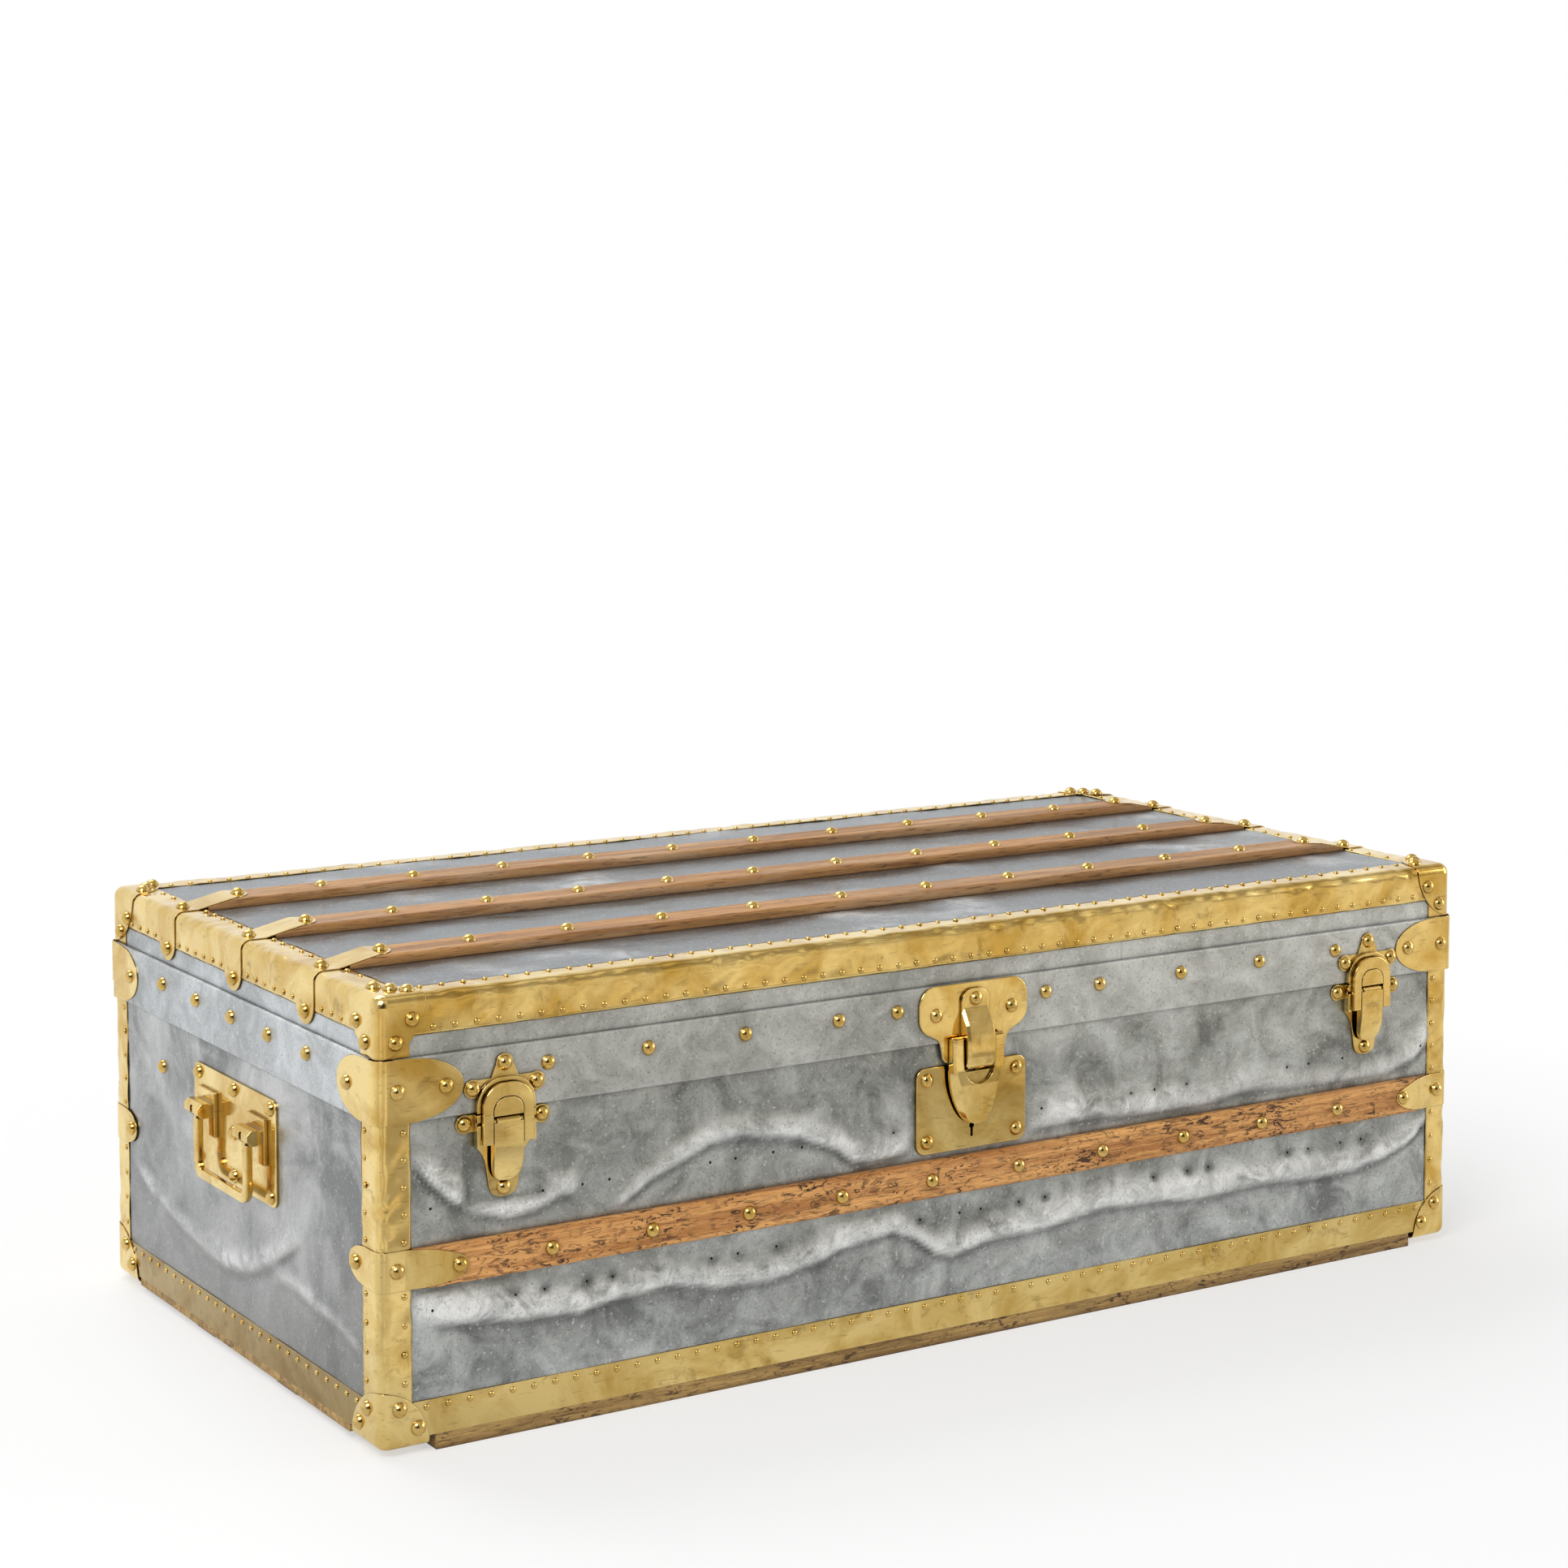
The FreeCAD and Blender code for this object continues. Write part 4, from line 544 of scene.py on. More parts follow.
@dataclass(frozen=True)
class BrassFinish:
    """Polished old brass with warm tarnished patches and darker patches that also stand as painted
    reflections, dirt and painted shade in the seams, edges bright as rubbed metal and painted highlight, and
    a beaten surface.
    """

    name: str
    bright: Colour = (0.88, 0.68, 0.285)
    tarnish_and_reflection: Colour = (0.63, 0.41, 0.10)
    smear_and_dark_reflection: Colour = (0.14, 0.08, 0.022)
    smear_and_reflection_share: float = 0.6
    smear_and_reflection_span: Point = (0.57, 0.74)
    rough_low: float = 0.06
    rough_high: float = 0.22
    rough_span: Point = (0.35, 0.7)
    wrinkle: float = 0.5
    sway: float = 0.5
    edge: float = 0.0006
    edge_rub_and_highlight: float = 0.5
    seam: float = 0.004
    seam_dirt_and_shade: float = 0.9
    end_dark_reflection: float = 0.0
    end_span: Point = (0.5488, 0.5498)
    patches: Mottle = Mottle(17.0, 5.0, 0.6, 0.4, 0.64, distortion=0.8)
    scratches: Mottle = Mottle(420.0, 2.0, 0.5, 0.64, 0.72, 0.3, stretch=(0.12, 1.0, 1.0))
    swayed: Relief = Relief(15.0, 1.0, 0.4, 0.004)
    beaten: Relief = Relief(46.0, 2.0, 0.45, 0.0012)
    skin: Relief = Relief(240.0, 3.0, 0.55, 0.0003)
    skin_share: float = 0.3

    def make(self) -> Material:
        """Build the material.

        Returns:
            The material.
        """
        n = Nodes(self.name, self.bright)
        # Warm tarnished patches, which also stand as painted reflections in the polished metal.
        n.lay(self.tarnish_and_reflection, self.patches.show(n))
        # Dark smudged patches, which also stand as painted dark reflections; the same dark tone marks the
        # scratches, the end faces and the seams below.
        smears_and_reflections = n.noise(scale=48.0, detail=6.0, roughness=0.68, distortion=0.6)
        n.lay(self.smear_and_dark_reflection, n.spread(smears_and_reflections, *self.smear_and_reflection_span, 0.0, self.smear_and_reflection_share))
        n.lay(self.smear_and_dark_reflection, self.scratches.show(n))
        # Painted dark reflection: the end faces past the end span are darkened, standing for the shaded floor
        # that they mirror.
        from_middle = n.math("ABSOLUTE", n.place("X"))
        n.lay(self.smear_and_dark_reflection, n.spread(from_middle, *self.end_span, 0.0, self.end_dark_reflection))
        rounded, edge = n.rounded_edges(self.edge)
        # Edges are laid back to the bright brass: rubbed metal and painted highlight.
        n.lay(self.bright, edge, self.edge_rub_and_highlight)
        # Seams found by ambient occlusion are painted dark: dirt and painted shade.
        n.lay(self.smear_and_dark_reflection, n.seams(self.seam), self.seam_dirt_and_shade)
        n.set(Base_Color=n.colour, Metallic=1.0)
        n.set(Roughness=n.spread(smears_and_reflections, *self.rough_span, self.rough_low, self.rough_high))
        beaten = self.beaten.push(n, self.wrinkle, self.swayed.push(n, self.sway, rounded))
        n.set(Normal=self.skin.push(n, self.wrinkle * self.skin_share, beaten))
        return n.material


@dataclass(frozen=True)
class WoodFinish:
    """Waxed wood with grain along the slat, pores, worm holes and gouges."""

    name: str
    light: Colour = (0.58, 0.30, 0.11)
    deep: Colour = (0.27, 0.12, 0.038)
    dark: Colour = (0.05, 0.022, 0.012)
    bleach: Colour = (0.66, 0.54, 0.40)
    bleached: float = 0.0
    damage: float = 0.3
    grain: Triple = (1.0, 26.0, 26.0)
    fibre_share: float = 0.3
    grain_span: Point = (0.4, 0.6)
    grain_depth: float = 0.0007
    shine: float = 0.3
    rough_low: float = 0.42
    rough_high: float = 0.6
    rough_span: Point = (0.3, 0.7)
    edge: float = 0.0015
    seam: float = 0.005
    seam_dirt_and_shade: float = 0.8
    gouge_reach: float = 0.145
    worm_stretch: Triple = (0.7, 1.0, 1.0)
    worm_scale: float = 130.0
    worm_span: Point = (0.07, 0.12)
    worm_dark: float = 0.95
    pores: Mottle = Mottle(150.0, 2.0, 0.5, 0.58, 0.68, 0.6, stretch=(0.35, 5.0, 5.0))
    rubbed: Mottle = Mottle(14.0, 4.0, 0.6, 0.4, 0.56, 1.0, 0.15)

    def make(self) -> Material:
        """Build the material.

        Returns:
            The material.
        """
        n = Nodes(self.name, self.deep)
        bands = n.noise(scale=5.0, detail=7.0, roughness=0.62, stretch=self.grain, distortion=0.4)
        fibre = n.noise(scale=60.0, detail=3.0, roughness=0.6, stretch=self.grain)
        grain = n.both(bands, fibre, self.fibre_share)
        n.lay(self.light, n.spread(grain, *self.grain_span))
        # Bleached, rubbed patches of the wood: real wear, with no painted light.
        wear_and_highlight = Mottle(scale=9.0, detail=5.0, roughness=0.65, low=0.48, high=0.66, most=self.bleached,
                      stretch=(0.6, 6.0, 6.0), distortion=0.5)
        n.lay(self.bleach, wear_and_highlight.show(n))
        n.lay(self.dark, self.pores.show(n))
        lower = self.gouge_reach * self.damage
        cuts = Mottle(scale=150.0, detail=4.0, roughness=0.7, low=0.68 - lower, high=0.72 - lower,
                      most=0.45 + 0.5 * self.damage, stretch=(0.5, 1.3, 1.3), distortion=1.4)
        gouges = n.math("MULTIPLY", cuts.show(n), self.rubbed.show(n))
        n.lay(self.dark, gouges)
        cells = n.node("TexVoronoi", Vector=n.stretched(self.worm_stretch), Scale=self.worm_scale)
        worms = n.spread(cells.outputs["Distance"], *self.worm_span, self.worm_dark, 0.0)
        nests = Mottle(scale=24.0, detail=3.0, roughness=0.6, low=0.5, high=0.6, most=self.damage)
        eaten = n.math("MULTIPLY", worms, nests.show(n))
        n.lay(self.dark, eaten)
        # Seams found by ambient occlusion are painted dark: dirt and painted shade.
        n.lay(self.dark, n.seams(self.seam), self.seam_dirt_and_shade)
        n.set(Base_Color=n.colour, Metallic=0.0, Specular_IOR_Level=self.shine)
        n.set(Roughness=n.spread(grain, *self.rough_span, self.rough_low, self.rough_high))
        rounded = n.rounded_edges(self.edge)[0]
        sunk = n.math("SUBTRACT", grain, n.math("ADD", gouges, eaten))
        n.set(Normal=n.bump(sunk, strength=0.5, depth=self.grain_depth, under=rounded))
        return n.material


@dataclass(frozen=True)
class ClothFinish:
    """Plain woven lining, a little stained, with painted shade between the threads."""

    name: str
    light: Colour = (0.60, 0.53, 0.40)
    stain_and_weave_shade: Colour = (0.42, 0.34, 0.23)
    threads: float = 520.0
    warp: Triple = (8.0, 1.0, 8.0)
    weft: Triple = (1.0, 8.0, 1.0)
    thread_depth: float = 0.0004
    thread_span: Point = (0.14, 0.36)
    thread_shade: float = 0.45
    roughness: float = 0.9
    stains: Mottle = Mottle(4.5, 5.0, 0.6, 0.5, 0.72, 0.75, distortion=0.7)

    def make(self) -> Material:
        """Build the material.

        Returns:
            The material.
        """
        n = Nodes(self.name, self.light)
        warp, weft = (n.noise(self.threads, detail=2.0, roughness=0.5, stretch=stretch)
                      for stretch in (self.warp, self.weft))
        weave = n.math("MULTIPLY", warp, weft)
        n.lay(self.stain_and_weave_shade, self.stains.show(n))
        # Painted shade between the threads of the weave.
        n.lay(self.stain_and_weave_shade, n.spread(weave, *self.thread_span, self.thread_shade, 0.0))
        n.set(Base_Color=n.colour, Roughness=self.roughness, Metallic=0.0)
        n.set(Normal=n.bump(weave, strength=0.5, depth=self.thread_depth))
        return n.material


@dataclass(frozen=True)
class SteelFinish:
    """Plain dark steel, lightly brushed."""

    name: str
    light: Colour = (0.34, 0.34, 0.35)
    dark: Colour = (0.16, 0.155, 0.15)
    roughness: float = 0.42
    brush: Triple = (0.3, 4.0, 4.0)
    brush_span: Point = (0.35, 0.65)
    brush_depth: float = 0.0002

    def make(self) -> Material:
        """Build the material.

        Returns:
            The material.
        """
        n = Nodes(self.name, self.dark)
        brushed = n.noise(scale=160.0, detail=3.0, roughness=0.6, stretch=self.brush)
        n.lay(self.light, n.spread(brushed, *self.brush_span))
        n.set(Base_Color=n.colour, Metallic=1.0, Roughness=self.roughness)
        n.set(Normal=n.bump(brushed, strength=0.15, depth=self.brush_depth))
        return n.material


def eased(share: np.ndarray) -> np.ndarray:
    """A share from 0 to 1 with a level start and end."""
    return share * share * (3 - 2 * share)


def random_waves(first: np.ndarray, second: np.ndarray, lengths: tuple[float, ...],
                 chance: np.random.RandomState) -> np.ndarray:
    """Waves in random directions, a few of each length.

    Args:
        first: places one way.
        second: places the other way.
        lengths: lengths of the waves, the longest first.
        chance: source of the random numbers.

    Returns:
        The sum of the waves, of which the longest are 1 high and the shorter ones lower.
    """
    total = np.zeros_like(first)
    for length in lengths:
        for _ in range(WAVES_EACH):
            turn = chance.uniform(0, math.pi)
            phase = chance.uniform(0, 2 * math.pi)
            along = first * math.cos(turn) + second * math.sin(turn)
            total += math.sqrt(length / lengths[0]) * np.sin(2 * math.pi * along / length + phase)
    return total


@dataclass(frozen=True)
class Crease:
    """A ridge pressed into the zinc along a path, with a hollow below it."""

    path: tuple[Point, ...]
    height: float = 2.4
    above: float = 9.0
    below: float = 5.0
    hollow: float = 1.2
    hollow_drop: float = 13.0
    hollow_width: float = 9.0
    fade: float = 30.0

    def lift(self, across: np.ndarray, up: np.ndarray) -> np.ndarray:
        """Height of the ridge and its hollow.

        Args:
            across: places across the face.
            up: places up the face.

        Returns:
            The height at each place, in millimetres.
        """
        us, vs = np.array(self.path).T
        offset = up - np.interp(across, us, vs)
        width = np.where(offset > 0, self.above, self.below)
        ridge = self.height * np.exp(-((offset / width) ** 2))
        dip = self.hollow * np.exp(-(((offset + self.hollow_drop) / self.hollow_width) ** 2))
        reach = np.minimum(across - us[0], us[-1] - across)
        return (ridge - dip) * np.clip(reach / self.fade + 0.5, 0.0, 1.0)


@dataclass(frozen=True)
class Dimples:
    """Round dents with a raised lip."""

    spots: tuple[Point, ...]
    radius: float
    depth: float
    lip: float = 0.6

    def lift(self, across: np.ndarray, up: np.ndarray) -> np.ndarray:
        """Depth of the dents.

        Args:
            across: places across the face.
            up: places up the face.

        Returns:
            The height at each place, in millimetres.
        """
        total = np.zeros_like(across)
        for u, v in self.spots:
            square = ((across - u) ** 2 + (up - v) ** 2) / self.radius ** 2
            total -= self.depth * (1.0 - self.lip * square) * np.exp(-square)
        return total


@dataclass
class ZincSheet:
    """A dented sheet of zinc in the place of a flat one."""

    name: str
    node: str
    body: str
    face: Face
    across: Point
    up: Point
    finish: Material
    step: float = 4.0
    waviness: float = 0.7
    seed: int = 1
    thick: float = 0.8
    dents: tuple[Crease | Dimples, ...] = ()
    covered: tuple[Area, ...] = ()
    gap: Area | None = None
    calm: float = 10.0
    margin: float = 14.0
    floor: float = -0.5
    stiffness: float = 3.0
    waves: tuple[float, ...] = (420.0, 260.0, 170.0, 120.0, 85.0, 60.0)
    waves_high: float = 3.2
    bend_scale: float = 100.0
    least_bend: float = 1.0
    crest_bend: float = 6.5
    hollow_bend: float = 5.5
    least_rise: float = 0.5
    full_rise: float = 1.8

    def heights(self, across: np.ndarray, up: np.ndarray) -> np.ndarray:
        """Height of the sheet out of its plane.

        Args:
            across: places across the face.
            up: places up the face.

        Returns:
            The height at each place, in millimetres.
        """
        chance = np.random.RandomState(self.seed)
        total = random_waves(across, up, self.waves, chance) * self.waviness / self.waves_high
        for dent in self.dents:
            total += dent.lift(across, up)
        edge = np.minimum(np.minimum(across - self.across[0], self.across[1] - across),
                          np.minimum(up - self.up[0], self.up[1] - up))
        share = np.clip((edge - self.margin) / self.calm, 0.0, 1.0)
        for left, right, low, high in self.covered:
            away = np.maximum(np.maximum(left - across, across - right), np.maximum(low - up, up - high))
            share = np.minimum(share, np.clip(away / self.calm, 0.0, 1.0))
        total *= eased(share)
        return self.floor + np.log1p(np.exp((total - self.floor) * self.stiffness)) / self.stiffness

    def build(self) -> Piece:
        """Make the sheet, mark its crests and hollows and set it in place of the flat node.

        Returns:
            The sheet.
        """
        us = np.linspace(*self.across, round((self.across[1] - self.across[0]) / self.step) + 1)
        vs = np.linspace(*self.up, round((self.up[1] - self.up[0]) / self.step) + 1)
        across, up = np.meshgrid(us, vs)
        lift = self.heights(across, up)
        spots = list(zip(across.ravel(), up.ravel(), lift.ravel()))
        points = [TRUNK.on(self.face, *spot) for spot in spots]
        faces = [cell for cell in grid_cells(len(vs), len(us))
                 if not self.in_gap(spots[cell[0]], spots[cell[2]])]
        piece = thin_wall(self.name, points, faces, self.finish, self.thick)
        self.mark(piece.data, lift)
        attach(piece, self.body)
        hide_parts(self.node)
        return piece

    def in_gap(self, first: Triple, last: Triple) -> bool:
        """Whether a cell of the grid lies in the opening that is left in the sheet.

        Args:
            first: the cell's lower left corner.
            last: its upper right corner.

        Returns:
            Whether it does.
        """
        if self.gap is None:
            return False
        left, right, low, high = self.gap
        return first[0] >= left and last[0] <= right and first[1] >= low and last[1] <= high

    def mark(self, mesh: bpy.types.Mesh, lift: np.ndarray) -> None:
        """Store how far each point is a crest, a hollow or raised, the shares that the zinc finish turns into
        painted highlight and painted shade.

        Args:
            mesh: the sheet's mesh.
            lift: height of each point, in rows.
        """
        rows = np.gradient(np.gradient(lift, self.step, axis=0), self.step, axis=0)
        columns = np.gradient(np.gradient(lift, self.step, axis=1), self.step, axis=1)
        bend = -(rows + columns) * self.bend_scale
        shares = {"crest": (bend - self.least_bend) / self.crest_bend,
                  "hollow": (-bend - self.least_bend) / self.hollow_bend,
                  "raised": (lift - self.least_rise) / self.full_rise}
        for name, values in shares.items():
            layer = mesh.attributes.new(name, "FLOAT", "POINT")
            layer.data.foreach_set("value", np.clip(values, 0.0, 1.0).astype(np.float32).ravel())


@dataclass(frozen=True)
class NailRow:
    """A row of small nails between two points of a face, in millimetres."""

    face: Face
    start: Point
    end: Point
    out: float = TRUNK.brass


@dataclass
class SmallNails:
    """Small domed nails set along rows at an even pitch, or alone at each row's start, by one node tree."""

    name: str
    body: str
    rows: list[NailRow]
    finish: Material
    slot: str = "nails"
    pitch: float = 18.4
    radius: float = 2.5
    height: float = 1.6
    single: bool = False

    def tree(self) -> bpy.types.NodeTree:
        """The node tree: rows to curves, points at the pitch or at each start, a dome on each point.

        Returns:
            The tree, with inputs for the pitch, the head's sizes and the finish.
        """
        t = Steps(self.name + "_rows")
        face = t.tree.interface
        face.new_socket("Geometry", in_out="INPUT", socket_type="NodeSocketGeometry")
        for label in ("Pitch", "Head Radius", "Head Height"):
            face.new_socket(label, in_out="INPUT", socket_type="NodeSocketFloat")
        face.new_socket("Finish", in_out="INPUT", socket_type="NodeSocketMaterial")
        face.new_socket("Geometry", in_out="OUTPUT", socket_type="NodeSocketGeometry")
        given = t.node("NodeGroupInput").outputs
        if self.single:
            spaced = t.node("GeometryNodeMeshToPoints", Mesh=given["Geometry"])
        else:
            curve = t.node("GeometryNodeMeshToCurve", Mesh=given["Geometry"])
            spaced = t.node("GeometryNodeResampleCurve", Curve=curve.outputs[0])
            spaced.mode = "LENGTH"
            t.feed(spaced.inputs["Length"], given["Pitch"])
        ball = t.node("GeometryNodeMeshIcoSphere", Radius=1.0, Subdivisions=2)
        smooth = t.node("GeometryNodeSetShadeSmooth", Geometry=ball.outputs[0])
        wide = given["Head Radius"]
        size = t.node("ShaderNodeCombineXYZ", X=wide, Y=wide, Z=given["Head Height"])
        outward = t.node("GeometryNodeInputNamedAttribute", Name="out")
        outward.data_type = "FLOAT_VECTOR"
        turn = t.node("FunctionNodeAlignRotationToVector", Vector=outward.outputs["Attribute"])
        turn.axis = "Z"
        heads = t.node("GeometryNodeInstanceOnPoints", Points=spaced.outputs[0], Instance=smooth.outputs[0],
                       Rotation=turn.outputs[0], Scale=size.outputs[0])
        real = t.node("GeometryNodeRealizeInstances", Geometry=heads.outputs[0])
        dressed = t.node("GeometryNodeSetMaterial", Geometry=real.outputs[0], Material=given["Finish"])
        t.node("NodeGroupOutput", Geometry=dressed.outputs[0])
        return t.tree

    def build(self) -> Piece:
        """Make the nails as one plain mesh that rides on its body.

        Returns:
            The nails.
        """
        mesh = bpy.data.meshes.new(self.name + "_lines")
        points, outs = [], []
        for row in self.rows:
            ends = (row.start,) if self.single else (row.start, row.end)
            points += [TRUNK.on(row.face, *end, row.out) for end in ends]
            outs += [row.face.out for _ in ends]
        edges = [] if self.single else [(2 * i, 2 * i + 1) for i in range(len(self.rows))]
        mesh.from_pydata(points, edges, [])
        layer = mesh.attributes.new("out", "FLOAT_VECTOR", "POINT")
        layer.data.foreach_set("vector", [number for out in outs for number in out])
        lines = placed(self.name + "_lines", mesh)
        group = self.tree()
        modifier = lines.modifiers.new("rows", "NODES")
        modifier.node_group = group
        values = {"Pitch": self.pitch * MM, "Head Radius": self.radius * MM, "Head Height": self.height * MM,
                  "Finish": self.finish}
        for item in group.interface.items_tree:
            if item.in_out == "INPUT" and item.name in values:
                modifier[item.identifier] = values[item.name]
        solid = bpy.data.meshes.new_from_object(lines.evaluated_get(bpy.context.evaluated_depsgraph_get()))
        solid.name = self.name
        bpy.data.objects.remove(lines)
        piece = placed(self.name, solid)
        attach(piece, self.body)
        return piece


@dataclass(frozen=True)
class Fold:
    """An edge of the box with a brass strip folded round it, in millimetres and box directions.

    The edge runs from start to end; first and second point from it along the two flanges.
    """

    start: Triple
    end: Triple
    first: tuple[int, int, int]
    second: tuple[int, int, int]
    reach: Point
    radius: float
    calm: tuple[Point, ...] = ()


@dataclass
class FoldedStrips:
    """Brass strips beaten round the edges of the box, rippled on the flats and crumpled at the bend."""

    name: str
    node: str
    body: str
    folds: list[Fold]
    finish: Material
    ripple: float = 0.09
    crumple: float = 0.75
    spacing: float = 13.0
    step: float = 3.0
    thick: float = 0.6
    seed: int = 3
    waves: tuple[float, ...] = (70.0, 46.0, 31.0, 22.0, 16.0)
    dent_scatter: float = 3.5
    dent_width: Point = (2.5, 8.0)
    dent_height: Point = (1.5, 4.0)
    dent_depth: Point = (0.3, 1.0)
    limits: Point = (-0.65, 0.45)
    calm: float = 5.0
    first_points: int = 9
    bend_points: int = 7
    second_points: int = 10

    def profile(self, fold: Fold) -> tuple[list[Vector], list[Vector], np.ndarray, float]:
        """The strip's cross-section.

        Args:
            fold: the edge.

        Returns:
            Offsets from the edge, outward directions, distances along the section, and the bend's middle.
        """
        first, second = Vector(fold.first), Vector(fold.second)
        spots = [first * d for d in np.linspace(fold.reach[0], fold.radius, self.first_points)]
        outs = [-second] * self.first_points
        for turn in np.linspace(0.0, math.pi / 2, self.bend_points + 2)[1:-1]:
            out = -second * math.cos(turn) - first * math.sin(turn)
            spots.append((first + second) * fold.radius + out * fold.radius)
            outs.append(out)
        spots += [second * d for d in np.linspace(fold.radius, fold.reach[1], self.second_points)]
        outs += [-first] * self.second_points
        along = np.cumsum([0.0] + [(b - a).length for a, b in zip(spots, spots[1:])])
        return spots, outs, along, float(along[self.first_points + self.bend_points // 2])

    def beaten(self, run: np.ndarray, along: np.ndarray, bend: float,
               chance: np.random.RandomState) -> np.ndarray:
        """How far the strip is pushed out of its plain shape.

        Args:
            run: places along the edge.
            along: places along the section.
            bend: the bend's middle along the section.
            chance: source of the random numbers.

        Returns:
            The displacement in millimetres, a row for each place along the edge.
        """
        s, q = np.meshgrid(run, along, indexing="ij")
        push = self.ripple * random_waves(s, q, self.waves, chance)
        for _ in range(int((run[-1] - run[0]) / self.spacing)):
            spot = chance.uniform(run[0], run[-1])
            level = bend + chance.normal(0.0, self.dent_scatter)
            wide = chance.uniform(*self.dent_width)
            tall = chance.uniform(*self.dent_height)
            deep = chance.uniform(*self.dent_depth)
            push -= self.crumple * deep * np.exp(-((s - spot) / wide) ** 2 - ((q - level) / tall) ** 2)
        return np.clip(push, *self.limits)

    def build(self) -> Piece:
        """Make the strips as one piece in place of the plain ones.

        Returns:
            The strips.
        """
        chance = np.random.RandomState(self.seed)
        points, faces = [], []
        for fold in self.folds:
            spots, outs, along, bend = self.profile(fold)
            start, way = Vector(fold.start), Vector(fold.end) - Vector(fold.start)
            run = np.linspace(0.0, way.length, round(way.length / self.step) + 1)
            push = self.beaten(run, along, bend, chance)
            for low, high in fold.calm:
                away = np.maximum(low - run, run - high)
                push *= np.clip(away / self.calm, 0.0, 1.0)[:, None]
            cells = grid_cells(len(run), len(spots), len(points))
            for place, row in zip(run, push):
                middle = start + way.normalized() * place
                points += [(middle + spot + out * lift) * MM for spot, out, lift in zip(spots, outs, row)]
            side = (spots[1] - spots[0]).cross(way).dot(outs[0])
            faces += cells if side > 0 else [cell[::-1] for cell in cells]
        piece = thin_wall(self.name, points, faces, self.finish, self.thick)
        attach(piece, self.body)
        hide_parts(self.node)
        return piece


